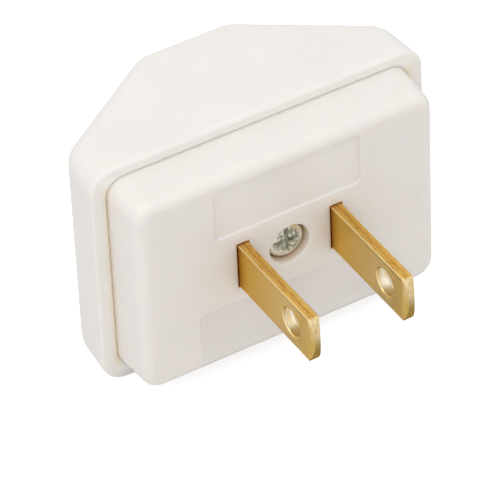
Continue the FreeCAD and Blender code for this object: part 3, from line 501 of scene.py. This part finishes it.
class Finish(Nodes):
    """One material, seen in the object's own coordinates."""

    def __init__(self, name):
        self.material = bpy.data.materials.new(name)
        self.material.use_nodes = True
        super().__init__(self.material.node_tree)
        self.shader = self.find("BSDF_PRINCIPLED")
        self.place = self.add("TexCoord").outputs["Object"]

    def surface(self, inputs):
        """Give the shader its inputs and return the material."""
        self.feed(self.shader, inputs)
        return self.material

    def noise(self, scale, detail=2.0, stretch=(1, 1, 1)):
        """Noise of one scale per metre, stretched along the axes."""
        mapping = self.add("Mapping", {"Vector": self.place, "Scale": stretch})
        inputs = {"Vector": mapping.outputs["Vector"], "Scale": scale, "Detail": detail}
        return self.add("TexNoise", inputs).outputs["Fac"]

    def blend(self, factor, *pair):
        """Blend two colours or colour outputs by a factor."""
        first, second = (value if isinstance(value, bpy.types.NodeSocket) else (*value, 1.0)
                         for value in pair)
        node = self.add("Mix", {"Factor": factor, 6: first, 7: second}, data_type="RGBA")
        return node.outputs[2]

    def axis(self, source, name):
        """One coordinate of a vector output."""
        return self.add("SeparateXYZ", {"Vector": source}).outputs[name]

    def beyond(self, name, limit):
        """How far a coordinate lies outside a limit on both sides of the middle."""
        return self.maths("SUBTRACT", self.maths("ABSOLUTE", self.axis(self.place, name)), limit)

    def reach(self):
        """Distance from the screw's axis."""
        flat = self.add("VectorMath", {0: self.place, 1: (1, 0, 1)}, operation="MULTIPLY")
        node = self.add("VectorMath", {0: flat.outputs["Vector"]}, operation="LENGTH")
        return node.outputs["Value"]

    def bump(self, height, strength, distance, under=None):
        """Bump from a height, over another bump if one is given."""
        node = self.add("Bump", {"Height": height, "Strength": strength, "Distance": distance})
        if under is not None:
            self.feed(node, {"Normal": under})
        return node.outputs["Normal"]


def scaled(tint, amount):
    """A colour made lighter or darker."""
    return tuple(min(1.0, part * amount) for part in tint)


def plastic(name, tint, roughness, toned_places):
    """Off-white moulded plastic with a fine even grain, faint flow clouds, and places toned mostly
    by painted light and shade.
    """
    look = Finish(name)
    clouds = look.remap(look.noise(FLOW_CLOUDS, 3.0), 0.35, 0.65)
    tone = look.blend(clouds, scaled(tint, 0.985), scaled(tint, 1.01))
    for mask, warm in toned_places(look):
        tone = look.blend(mask, tone, warm)
    sheen = look.noise(MATT_PATCHES)
    waves = look.bump(look.noise(FLOW_WAVES), 0.25, 0.04 * MM)
    return look.surface({
        "Base Color": tone,
        "Roughness": look.remap(sheen, 0.3, 0.7, roughness - 0.05, roughness + 0.05),
        "Normal": look.bump(look.noise(MOULD_GRAIN), 0.12, 0.012 * MM, waves),
        "IOR": 1.5,
        "Subsurface Weight": 0.6,
        "Subsurface Radius": (1.0, 0.8, 0.62),
        "Subsurface Scale": 1.2 * MM,
    })


def shell_painted_light(look):
    """Painted light on the lip of the shell's mouth: a warm painted glow in the joint, painted
    lighter where it runs level.
    """
    shell = bpy.context.scene.adapter_shell
    across, upward = look.beyond("X", shell.mouth_x), look.beyond("Z", shell.mouth_z)
    near = look.fall(look.maths("MAXIMUM", across, upward), 0.0, 0.9 * MM)
    depth = look.axis(look.place, "Y")
    near = look.times(near, look.fall(depth, shell.rim + MM, shell.rim + shell.seat))
    return [(look.times(near, look.fall(upward, -MM, 0.0)), shell.joint_painted_glow),
            (look.times(near, look.remap(upward, -MM, 0.0)), shell.joint_painted_highlight)]


def cover_painted_light_and_tone(look):
    """Toned places of the cover: painted light and shade at the joint, in the screw recess and
    round the blade slots, and a darker tone over the lower panel.
    """
    remap, fall, times, beyond = look.remap, look.fall, look.times, look.beyond
    scene = bpy.context.scene
    cover, blade, rim = scene.adapter_cover, scene.adapter_blade, scene.adapter_shell.rim
    depth, height = look.axis(look.place, "Y"), look.axis(look.place, "Z")
    joint = remap(depth, rim - 0.5 * MM, rim + 0.45 * MM)
    level = remap(beyond("Z", cover.half_height), -MM, 0.0)
    # Painted shade that deepens down the screw recess.
    recess = times(fall(look.reach(), cover.recess, cover.recess + 0.4 * MM),
                   remap(depth, 0.25 * MM, 1.7 * MM))
    # Round each blade slot: a painted warm glow from the brass, and a painted shade line right at
    # the blade.
    aside = look.maths("ABSOLUTE", beyond("X", blade.pitch / 2))
    slot = look.maths("MAXIMUM", look.maths("SUBTRACT", aside, blade.thickness / 2),
                      beyond("Z", blade.half_width))
    # Darker tone over the lower panel, weaker along its lower edge.
    soft, top, bottom = 0.1 * MM, -cover.lower_high, -cover.panel_far
    panel = times(fall(beyond("X", cover.lower_half), -soft, soft),
                  fall(height, top - soft, top + soft))
    panel = times(panel, remap(height, bottom + 0.3 * MM, bottom + 0.6 * MM, 0.3, 0.5))
    panel = times(panel, fall(depth, 0.6 * MM, 0.9 * MM))
    # Painted light in the joint: a warm glow, and a lighter tone where it runs level.
    return [(times(joint, look.maths("SUBTRACT", 1.0, level)), cover.joint_painted_glow),
            (times(joint, level), cover.joint_painted_highlight),
            (recess, cover.recess_painted_shade),
            (fall(slot, 0.2 * MM, 2.0 * MM, 0.06), cover.slot_painted_glow),
            (fall(slot, 0.1 * MM, 0.38 * MM), cover.slot_painted_glow),
            (fall(slot, 0.08 * MM, 0.15 * MM), cover.groove_tint),
            (panel, cover.panel_tint)]


def blade_brass(blade):
    """Satin brass: painted shade near the root, streaked where it is cut, painted highlights on its
    edges, bevels and end.
    """
    look = Finish("blade_brass")
    noise, blend, remap, fall, times = look.noise, look.blend, look.remap, look.fall, look.times
    depth, height = look.axis(look.place, "Y"), look.axis(look.place, "Z")
    aside = look.maths("ABSOLUTE", look.beyond("X", blade.pitch / 2))
    off_middle = look.maths("ABSOLUTE", height)
    facing = look.add("NewGeometry").outputs["Normal"]
    flatness = look.maths("ABSOLUTE", look.axis(facing, "X"))
    streaks = noise(CUT_STREAKS, 3.0, (1.0, 0.12, 1.0))
    brown = scaled(blade.deep_tint, 1.4)

    # Flat faces, with painted shade towards the root and a little towards the tip.
    grain = noise(FACE_GRAIN, 2.0, (1.0, 0.08, 1.0))
    face = blend(remap(grain, 0.3, 0.7), scaled(blade.tint, 0.93), blade.tint)
    for mask in (remap(depth, -10.0 * MM, -1.0 * MM), fall(depth, -16.0 * MM, -12.0 * MM, 0.6)):
        face = blend(mask, face, blade.painted_half_shade)
    # Deep painted shade right at the root.
    root = look.maths("POWER", remap(depth, -2.2 * MM, 0.3 * MM), 1.6)
    face = blend(root, face, blade.deep_tint)

    # Cut edges with streaks, the line where the sheet broke, and specks.
    cut = blend(remap(streaks, 0.5, 0.7, 0.0, 0.6), blade.edge_tint, brown)
    broken = times(fall(aside, 0.04 * MM, 0.2 * MM), remap(streaks, 0.3, 0.55, 0.1, 0.42))
    specks = remap(noise(CUT_SPECKS, 2.0, (1.0, 0.4, 1.0)), 0.47, 0.62, 0.0, 0.5)
    specks = times(specks, remap(aside, 0.25 * MM, 0.5 * MM, 1.0, 0.15))
    for mask in (broken, specks):
        cut = blend(mask, cut, brown)
    across = fall(flatness, 0.15, 0.4)
    tone = blend(across, face, cut)

    # Curved end, with a painted highlight on its upper half and painted shade on its lower half.
    end_start = blade.bevel_length - blade.length
    tip = fall(depth, end_start - 0.05 * MM, end_start + 0.05 * MM)
    end = times(fall(look.axis(facing, "Y"), -0.75, -0.45), tip)
    shade = blend(remap(height, -0.9 * MM, 1.2 * MM), blade.end_painted_shade, blade.end_painted_highlight)
    tone = blend(end, tone, shade)

    # Wall of the hole, with painted highlights in bright rings and painted shade towards its top
    # and bottom.
    hole_end = -blade.hole_place - blade.hole
    in_hole = times(fall(off_middle, blade.hole + 0.4 * MM, blade.hole + 0.6 * MM),
                    remap(depth, hole_end - 0.8 * MM, hole_end - 0.6 * MM))
    rings = noise(HOLE_RINGS, 2.0, (1.0, 0.15, 0.15))
    wall = blend(remap(rings, 0.33, 0.55), scaled(blade.tint, 1.15), blade.bore_painted_highlight)
    wall = blend(remap(off_middle, 1.4 * MM, 1.75 * MM, 0.0, 0.85), wall,
                 scaled(blade.edge_tint, 0.55))
    tone = blend(times(in_hole, fall(flatness, 0.1, 0.3)), tone, wall)

    # Painted highlights on the rounded edges and bevels, with painted shade where they face down
    # and on the lower part of the tip.
    lit = times(remap(flatness, 0.25, 0.45), fall(flatness, 0.93, 0.975))
    low = times(lit, fall(look.axis(facing, "Z"), -0.45, -0.15))
    edge_highlight = blend(remap(streaks, 0.35, 0.65, 0.0, 0.7), blade.edge_painted_highlight, scaled(blade.tint, 1.1))
    tip_shade = times(tip, fall(height, -0.4 * MM, 2.2 * MM, 0.8))
    edge_highlight = blend(tip_shade, edge_highlight, blade.painted_half_shade)
    tone = blend(look.maths("SUBTRACT", lit, low), tone, edge_highlight)
    rubs = remap(noise(TIP_RUBS, 3.0, (1.0, 1.0, 0.14)), 0.48, 0.66, 0.0, 0.55)
    tone = blend(times(tip, rubs), tone, scaled(blade.edge_tint, 0.75))
    fine = look.bump(grain, 0.25, 0.01 * MM)
    return look.surface({
        "Base Color": blend(low, tone, blade.deep_tint),
        "Roughness": remap(streaks, 0.3, 0.7, blade.roughness - 0.05, blade.roughness + 0.08),
        "Normal": look.bump(times(across, streaks), 0.6, 0.04 * MM, fine),
        "Metallic": 1.0,
        "Specular Tint": (1.0, 0.8, 0.45, 1.0),
    })


def sheet_brass(name, tint, roughness):
    """Stamped brass sheet with faint roll marks and a little tarnish."""
    look = Finish(name)
    grain = look.noise(ROLL_MARKS, 2.0, (0.1, 1.0, 1.0))
    tarnish = look.remap(look.noise(TARNISH, 3.0), 0.45, 0.7, 0.0, 0.6)
    return look.surface({
        "Base Color": look.blend(tarnish, tint, scaled(tint, 0.72)),
        "Roughness": look.remap(grain, 0.3, 0.7, roughness - 0.05, roughness + 0.07),
        "Normal": look.bump(grain, 0.2, 0.01 * MM),
        "Metallic": 1.0,
    })


def zinc(screw):
    """Zinc plating: dull patches and pits on the crown, painted shade down in the cross, and a
    smooth ring round it left bright as a painted highlight.
    """
    look = Finish("screw_zinc")
    # The ring round the crown keeps few patches, so it shows bright as a painted highlight.
    crown = look.fall(look.reach(), 1.5 * MM, 2.05 * MM)
    patches = look.remap(look.noise(ZINC_PATCHES, 3.0), 0.42, 0.55)
    patches = look.times(patches, look.remap(crown, 0.0, 1.0, 0.12, 1.0))
    tone = look.blend(patches, screw.tint, screw.dull_tint)
    # Painted shade down in the cross recess.
    sunk = look.remap(look.axis(look.place, "Y"), screw.crown + 0.02 * MM, screw.crown + 0.3 * MM)
    sunk = look.times(sunk, look.remap(look.noise(CROSS_PATCHES), 0.42, 0.6, 0.0, 0.4))
    pits = look.times(look.noise(ZINC_PITS), look.remap(crown, 0.0, 1.0, 0.15, 1.0))
    pits = look.bump(pits, 1.0, 0.16 * MM)
    return look.surface({
        "Base Color": look.blend(sunk, tone, screw.dull_tint),
        "Roughness": look.remap(patches, 0.0, 1.0, screw.roughness, screw.roughness + 0.18),
        "Normal": look.bump(look.noise(ZINC_GRAIN), 0.15, 0.02 * MM, pits),
        "Metallic": 0.6,
    })


# The pieces.

def slant(shell):
    """Angle between the front outlet face and a slanted one."""
    return math.atan2(shell.front - shell.shoulder, shell.shoulder_half - shell.front_half)


def outlets(shell):
    """Middle of each outlet face, its outward normal and its place matrix."""
    for side in (-1, 0, 1):
        turn = side * slant(shell)
        middle = (shell.shoulder + shell.front) / 2 if side else shell.front
        centre = Vector((side * (shell.shoulder_half + shell.front_half) / 2, middle, 0))
        normal = Vector((math.sin(turn), math.cos(turn), 0))
        yield centre, normal, lay(*centre, math.pi - turn)


def shell_block(bm, shell):
    """Outer block of the shell with its rounded edges; returns the rim's inner border."""
    high = shell.half_height
    wedge(bm, ((shell.half_width, shell.rim), (shell.shoulder_half, shell.shoulder),
               (shell.front_half, shell.front)), high)
    round_edges(bm, lambda edge: upright_at(edge, shell.shoulder), shell.side_corner, 8)
    round_edges(bm, lambda edge: upright_at(edge, shell.front), shell.front_corner, 7)
    round_edges(bm, lambda edge: (level_at(edge, 2, -high, high)
                                  and not level_at(edge, 1, shell.rim)), shell.outline, 8)
    round_edges(bm, lambda edge: level_at(edge, 1, shell.rim), shell.rim_edge, 4)
    return open_face(bm, (0, shell.rim, 0))


def shell_cavity(bm, shell):
    """Inner walls of the shell; returns the border of their open side."""
    lean = slant(shell)
    line = shell.front_half * math.sin(lean) + shell.front * math.cos(lean) - shell.wall
    wide = shell.mouth_x + shell.mouth_gap - shell.ledge
    high = shell.mouth_z + shell.mouth_gap - shell.ledge
    start, deep = shell.rim + shell.seat, shell.front - shell.wall
    bend = (line - wide * math.sin(lean)) / math.cos(lean)
    corner = (line - deep * math.cos(lean)) / math.sin(lean)
    wedge(bm, ((wide, start), (wide, bend), (corner, deep)), high)
    return open_face(bm, (0, start, 0))


def shell_stiffeners(bm, shell):
    """Web between the poles and the screw boss, both reaching into the walls."""
    start, end = shell.rim + shell.seat, shell.front - shell.wall / 2
    wide = shell.mouth_x - shell.ledge / 2
    wedge(bm, ((wide, start + shell.web_setback), (wide, shell.shoulder), (shell.front_half, end)),
          shell.web / 2)
    place = lay(y=start)
    first, last = round_opening(bm, shell.boss, [(0, 0), (0, end - start)], place, 40)
    hole, hole_end = round_opening(bm, shell.pilot, [(0, 0), (0, shell.pilot_depth)], place, 40)
    fill(bm, first, hole)
    fill(bm, hole_end)
    fill(bm, last)


class ADAPTER_OT_shell(bpy.types.Operator):
    """Make the moulded shell with its mouth and its three outlets"""
    bl_idname = "adapter.make_shell"
    bl_label = "Make Shell"

    def execute(self, context):
        shell = context.scene.adapter_shell
        bm = bmesh.new()
        rim = shell_block(bm, shell)
        profile = [(shell.mouth_roll * out, shell.lip * deep) for out, deep in LIP]
        profile.append((shell.mouth_gap, shell.seat))
        mouth, seat = opening(bm, (shell.mouth_x, shell.mouth_z), shell.mouth_corner, profile,
                              lay(y=shell.rim), 8)
        fill(bm, rim, mouth)
        fill(bm, seat, shell_cavity(bm, shell))
        halves = (shell.slot_length / 2, shell.slot_height / 2)
        profile = [(shell.slot_lead, 0.0), (0.0, shell.slot_lead), (0.0, shell.wall)]
        for centre, normal, place in outlets(shell):
            outer = open_face(bm, centre, normal)
            inner = open_face(bm, centre - normal * shell.wall, normal)
            slots = [opening(bm, halves, shell.slot_corner, profile,
                             lay(z=side * shell.pole_pitch / 2) @ place, 3) for side in (-1, 1)]
            pierce(bm, outer, inner, slots)
        shell_stiffeners(bm, shell)
        look = plastic("shell_plastic", shell.tint, shell.roughness, shell_painted_light)
        finish_piece("moulded_shell", bm, "body_shell", look)
        return {"FINISHED"}


def cover_block(bm, cover):
    """Outer block of the cover; returns the borders of its face and of its back."""
    outline = [(x * cover.half_width, 0, z * cover.half_height) for x, z in CORNERS]
    far = prism(bm, outline, (0, cover.depth, 0))
    grow = (cover.end_width / cover.half_width, 1, cover.end_height / cover.half_height)
    bmesh.ops.scale(bm, vec=grow, verts=far)
    round_edges(bm, lambda edge: abs(edge.verts[0].co.y - edge.verts[1].co.y) > MM, cover.corner, 8)
    round_edges(bm, lambda edge: level_at(edge, 1, 0.0), cover.face_edge, 7)
    return open_face(bm, (0, 0, 0)), open_face(bm, (0, cover.depth, 0))


def sunk_panel(bm, cover, half, low, high, depth, low_share=1.0):
    """Shallow sunk panel with soft edges; returns its border on the face.

    Where the floor leans, only a share of its depth is left at the low end.
    """
    old = set(bm.verts)
    place = lay(z=(low + high) / 2)
    profile = [(cover.panel_soft * out, depth * deep) for out, deep in PANEL_STEP]
    first, last = opening(bm, (half, (high - low) / 2), cover.panel_corner, profile, place)
    for vert in set(bm.verts) - old:
        vert.co.y *= low_share + (1 - low_share) * (vert.co.z - low) / (high - low)
    fill(bm, last)
    return first


class ADAPTER_OT_cover(bpy.types.Operator):
    """Make the rear cover with its blade slots, screw recess and sunk panels"""
    bl_idname = "adapter.make_cover"
    bl_label = "Make Cover"

    def execute(self, context):
        cover, blade = context.scene.adapter_cover, context.scene.adapter_blade
        bm = bmesh.new()
        face, back = cover_block(bm, cover)
        panels = (
            sunk_panel(bm, cover, cover.upper_half, cover.upper_low, cover.panel_far,
                       cover.upper_depth),
            sunk_panel(bm, cover, cover.lower_half, -cover.panel_far, -cover.lower_high,
                       cover.lower_depth, cover.lower_end),
        )
        halves = (blade.thickness / 2 + cover.slot_gap, blade.half_width + cover.slot_gap)
        profile = [(cover.slot_edge, 0.0), (0.0, cover.slot_edge), (0.0, cover.floor)]
        slots, slot_ends = zip(*[opening(bm, halves, cover.slot_corner, profile,
                                         lay(side * blade.pitch / 2), 3) for side in (-1, 1)])
        middle = lay()
        profile = roll(cover.recess_roll, 8) + [(0.0, cover.recess_depth)]
        recess, recess_floor = round_opening(bm, cover.recess, profile, middle)
        fill(bm, face, *panels, *slots, recess)
        profile = [(0, cover.recess_depth), (0, cover.depth)]
        hole, hole_end = round_opening(bm, cover.screw_hole, profile, middle)
        fill(bm, recess_floor, hole)
        profile = [(0, cover.floor), (0, cover.depth)]
        tube, tube_end = round_opening(bm, cover.tube, profile, middle)
        fill(bm, tube_end, hole_end)
        from_back = lay(y=cover.depth, turn=math.pi)
        halves = (cover.end_width - cover.wall, cover.end_height - cover.wall)
        profile = [(0, 0), (0, cover.depth - cover.floor)]
        first, last = opening(bm, halves, cover.inner_corner, profile, from_back)
        fill(bm, back, first)
        fill(bm, last, tube, *slot_ends)
        look = plastic("cover_plastic", cover.tint, cover.roughness, cover_painted_light_and_tone)
        finish_piece("moulded_cover", bm, "rear_cover", look)
        return {"FINISHED"}


def blade_blank(bm, blade):
    """Flat blade with its root, its curved end and two tip bevels."""
    low = -blade.thickness / 2
    tip, start, end = -blade.length, blade.root_start, blade.root_end
    half, root = blade.half_width, blade.root_half
    shoulder = tip + blade.bevel_length + CLOSE
    # Rounding the point leaves sqrt(2) - 1 of its rise, which is the length of the curved end.
    rise = blade.bevel_length / (math.sqrt(2) - 1)
    outline = ((shoulder - rise, 0), (shoulder, -half), (start, -half), (start, -root),
               (end, -root), (end, root), (start, root), (start, half), (shoulder, half))
    face = bm.faces.new([bm.verts.new((low, y, z)) for y, z in outline])
    point = min(face.verts, key=lambda vert: vert.co.y)
    bevel(bm, [point], math.hypot(rise, half) - 2 * CLOSE, 16, affect="VERTICES")
    thicken(bm, list(bm.faces), (blade.thickness, 0, 0))
    bevel(bm, [edge for edge in bm.edges if edge.calc_face_angle() > CRISP], blade.edge, 5)
    for side in (-1, 1):
        point = (-side * low, tip + blade.bevel_length, 0)
        normal = Vector((side * blade.bevel_length, -blade.bevel_depth, 0)).normalized()
        bmesh.ops.bisect_plane(bm, geom=[*bm.verts, *bm.edges, *bm.faces], dist=MERGE,
                               plane_co=point, plane_no=normal, clear_outer=True)
        bmesh.ops.contextual_create(bm, geom=[edge for edge in bm.edges if edge.is_boundary])


def through_profile(radius, thickness):
    """Profile of a hole through a sheet, rounded at both sides."""
    near = roll(radius, 5)
    return near + [(out, thickness - deep) for out, deep in reversed(near)]


class ADAPTER_OT_blades(bpy.types.Operator):
    """Make the two brass blades with their holes and bevelled tips"""
    bl_idname = "adapter.make_blades"
    bl_label = "Make Blades"

    def execute(self, context):
        blade = context.scene.adapter_blade
        look = blade_brass(blade)
        half = blade.thickness / 2
        holes = ((blade.hole, -blade.hole_place, blade.hole_roll),
                 (blade.rivet_hole, blade.rivet_place, blade.rivet_roll))
        for side, key in ((-1, "left"), (1, "right")):
            bm = bmesh.new()
            blade_blank(bm, blade)
            inner = open_face(bm, (-half, 0, 0), (1, 0, 0))
            outer = open_face(bm, (half, 0, 0), (1, 0, 0))
            loops = []
            for radius, depth, soft in holes:
                place = lay(-half, depth, turn=-math.pi / 2)
                profile = through_profile(soft, blade.thickness)
                loops.append(round_opening(bm, radius, profile, place, 56))
            pierce(bm, inner, outer, loops)
            bmesh.ops.translate(bm, vec=(side * blade.pitch / 2, 0, 0), verts=bm.verts)
            finish_piece(f"brass_blade_{key}", bm, f"blade_{key}", look, BLADE_SHARP)
        return {"FINISHED"}


def cross_outline(reach, half):
    """Corners of an even cross, as across and up."""
    arm, outline = [(reach, -half), (reach, half), (half, half)], []
    for _ in range(4):
        outline += arm
        arm = [(-z, x) for x, z in arm]
    return outline


class ADAPTER_OT_screw(bpy.types.Operator):
    """Make the plated screw with its domed head and cross recess"""
    bl_idname = "adapter.make_screw"
    bl_label = "Make Screw"

    def execute(self, context):
        screw = context.scene.adapter_screw
        bm = bmesh.new()
        middle = lay()
        crown, seat, end, flat = screw.crown, screw.seat, screw.end, screw.crown_flat
        span, shank = screw.head - flat, screw.shank - flat
        profile = [(0.0, crown)]
        profile += [(span * out, crown + (seat - crown) * deep) for out, deep in DOME]
        profile += [(span, seat - screw.head_rise), (span - screw.head_edge, seat), (shank, seat),
                    (shank, end - screw.point), (shank - screw.point, end)]
        first, last = round_opening(bm, flat, profile, middle)
        fill(bm, last)
        outline = cross_outline(screw.cross_length, screw.cross_width)
        face = bm.faces.new([bm.verts.new((x, crown, z)) for x, z in outline])
        bevel(bm, list(face.verts), screw.cross_corner, 3, affect="VERTICES")
        cross = open_face(bm, (0, crown, 0))
        fill(bm, first, cross)
        for shrink, deep in CROSS_STEPS:
            step = lay(y=screw.cross_depth * deep) @ Matrix.Diagonal((shrink, 1, shrink, 1))
            cross = draw_out(bm, cross, step, middle)
        fill(bm, cross)
        finish_piece("plated_screw", bm, "cover_screw", zinc(screw))
        return {"FINISHED"}


class ADAPTER_OT_contacts(bpy.types.Operator):
    """Give the contact bars, spring clips and rivets their brass"""
    bl_idname = "adapter.finish_contacts"
    bl_label = "Finish Contacts"

    def execute(self, context):
        contact = context.scene.adapter_contact
        tints = {"rivet": contact.rivet_tint, "clip": contact.clip_tint, "bar": contact.bar_tint}
        looks = {word: sheet_brass(f"{word}_brass", tint, contact.roughness)
                 for word, tint in tints.items()}
        for name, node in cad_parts.items():
            word = next((word for word in looks if word in name), None)
            if word:
                node.data.materials.clear()
                node.data.materials.append(looks[word])
        return {"FINISHED"}


# The stage.

def stage_floor(stage, level):
    """Pale floor that looks white to the camera and keeps the object's shadow."""
    bm = bmesh.new()
    bmesh.ops.create_circle(bm, cap_ends=True, segments=96, radius=stage.floor_reach,
                            matrix=lay(z=level))
    look = Finish("floor_white")
    clouds = look.remap(look.noise(FLOOR_CLOUDS), 0.3, 0.7)
    look.surface({
        "Base Color": look.blend(clouds, scaled(stage.floor_tint, 0.995), stage.floor_tint),
        "Roughness": 0.9,
        "Specular IOR Level": 0.0,
    })
    path = look.add("LightPath").outputs
    seen = look.maths("MAXIMUM", path["Is Camera Ray"], path["Is Transmission Ray"])
    glow = look.add("Emission", {"Strength": look.times(seen, stage.glow)})
    both = look.add("AddShader", {0: look.shader.outputs["BSDF"], 1: glow.outputs["Emission"]})
    look.feed(look.find("OUTPUT_MATERIAL"), {"Surface": both.outputs["Shader"]})
    mesh_object("floor", bm, look.material)


def stage_sky(stage):
    """White surroundings: even light, and full white where they are seen or mirrored."""
    world = bpy.data.worlds.new("studio")
    bpy.context.scene.world = world
    world.use_nodes = True
    sky = Nodes(world.node_tree)
    path = sky.add("LightPath").outputs
    seen = path["Is Camera Ray"]
    for name in ("Is Glossy Ray", "Is Transmission Ray"):
        seen = sky.maths("MAXIMUM", seen, path[name])
    strength = sky.remap(seen, 0.0, 1.0, stage.sky, 1.0)
    sky.feed(sky.find("BACKGROUND"), {"Color": (1.0, 1.0, 1.0, 1.0), "Strength": strength})


def stage_lamp(name, place, width, power):
    """Large soft lamp that looks at the object."""
    light = bpy.data.lights.new(name, "AREA")
    light.shape = "DISK"
    light.size = width
    light.energy = power
    lamp = place_object(name, light)
    lamp.location = place
    lamp.rotation_mode = "QUATERNION"
    lamp.rotation_quaternion = Vector(place).to_track_quat("Z", "Y")


def stage_camera(stage):
    """Camera at the photograph's place."""
    turn, rise, tilt = stage.azimuth, stage.elevation, stage.roll
    toward = Vector((math.sin(turn) * math.cos(rise), -math.cos(turn) * math.cos(rise),
                     math.sin(rise)))
    level = Vector((math.cos(turn), math.sin(turn), 0))
    above = toward.cross(level)
    right = level * math.cos(tilt) + above * math.sin(tilt)
    up = above * math.cos(tilt) - level * math.sin(tilt)
    data = bpy.data.cameras.new("camera")
    data.sensor_fit = "HORIZONTAL"
    data.sensor_width = 36.0
    data.lens = stage.lens
    data.clip_start = 0.01
    data.clip_end = 20.0
    camera = place_object("camera", data)
    camera.location = (Vector((0, stage.aim, 0)) + right * stage.offset_x + up * stage.offset_y
                       + toward * stage.distance)
    camera.rotation_mode = "QUATERNION"
    camera.rotation_quaternion = Matrix((right, up, toward)).transposed().to_quaternion()
    bpy.context.scene.camera = camera


class ADAPTER_OT_stage(bpy.types.Operator):
    """Make the white floor, the soft studio light and the camera"""
    bl_idname = "adapter.make_stage"
    bl_label = "Make Stage"

    def execute(self, context):
        stage = context.scene.adapter_stage
        context.scene.view_settings.view_transform = "Standard"
        stage_floor(stage, CAD_BOX[0].z)
        stage_sky(stage)
        stage_lamp("key_lamp", KEY_PLACE, KEY_WIDTH, stage.key)
        stage_lamp("front_lamp", FRONT_PLACE, FRONT_WIDTH, stage.fill)
        stage_camera(stage)
        return {"FINISHED"}


# The add-on. Each row holds the settings' name on the scene, their class and their operator.

ROWS = (
    ("adapter_stage", AdapterStageSettings, ADAPTER_OT_stage),
    ("adapter_shell", AdapterShellSettings, ADAPTER_OT_shell),
    ("adapter_cover", AdapterCoverSettings, ADAPTER_OT_cover),
    ("adapter_blade", AdapterBladeSettings, ADAPTER_OT_blades),
    ("adapter_screw", AdapterScrewSettings, ADAPTER_OT_screw),
    ("adapter_contact", AdapterContactSettings, ADAPTER_OT_contacts),
)


class ADAPTER_PT_pieces(bpy.types.Panel):
    """Lists the adapter's pieces in the sidebar"""
    bl_label = "Socket Adapter"
    bl_idname = "ADAPTER_PT_pieces"
    bl_space_type = "VIEW_3D"
    bl_region_type = "UI"
    bl_category = "Adapter"

    def draw(self, context):
        for group, _, operator in ROWS:
            box = self.layout.box()
            box.operator(operator.bl_idname)
            settings = getattr(context.scene, group)
            for name in settings.__annotations__:
                box.prop(settings, name)


def register():
    """Register the classes and hang the settings on the scene."""
    for name, group, operator in ROWS:
        bpy.utils.register_class(group)
        bpy.utils.register_class(operator)
        setattr(bpy.types.Scene, name, PointerProperty(type=group))
    bpy.utils.register_class(ADAPTER_PT_pieces)


def unregister():
    """Take the settings and the classes away again."""
    bpy.utils.unregister_class(ADAPTER_PT_pieces)
    for name, group, operator in reversed(ROWS):
        delattr(bpy.types.Scene, name)
        bpy.utils.unregister_class(operator)
        bpy.utils.unregister_class(group)


def main():
    """Make the stage and every piece."""
    register()
    bpy.ops.adapter.make_stage()
    bpy.ops.adapter.make_shell()
    bpy.ops.adapter.make_cover()
    bpy.ops.adapter.make_blades()
    bpy.ops.adapter.make_screw()
    bpy.ops.adapter.finish_contacts()


if __name__ == "__main__":
    main()
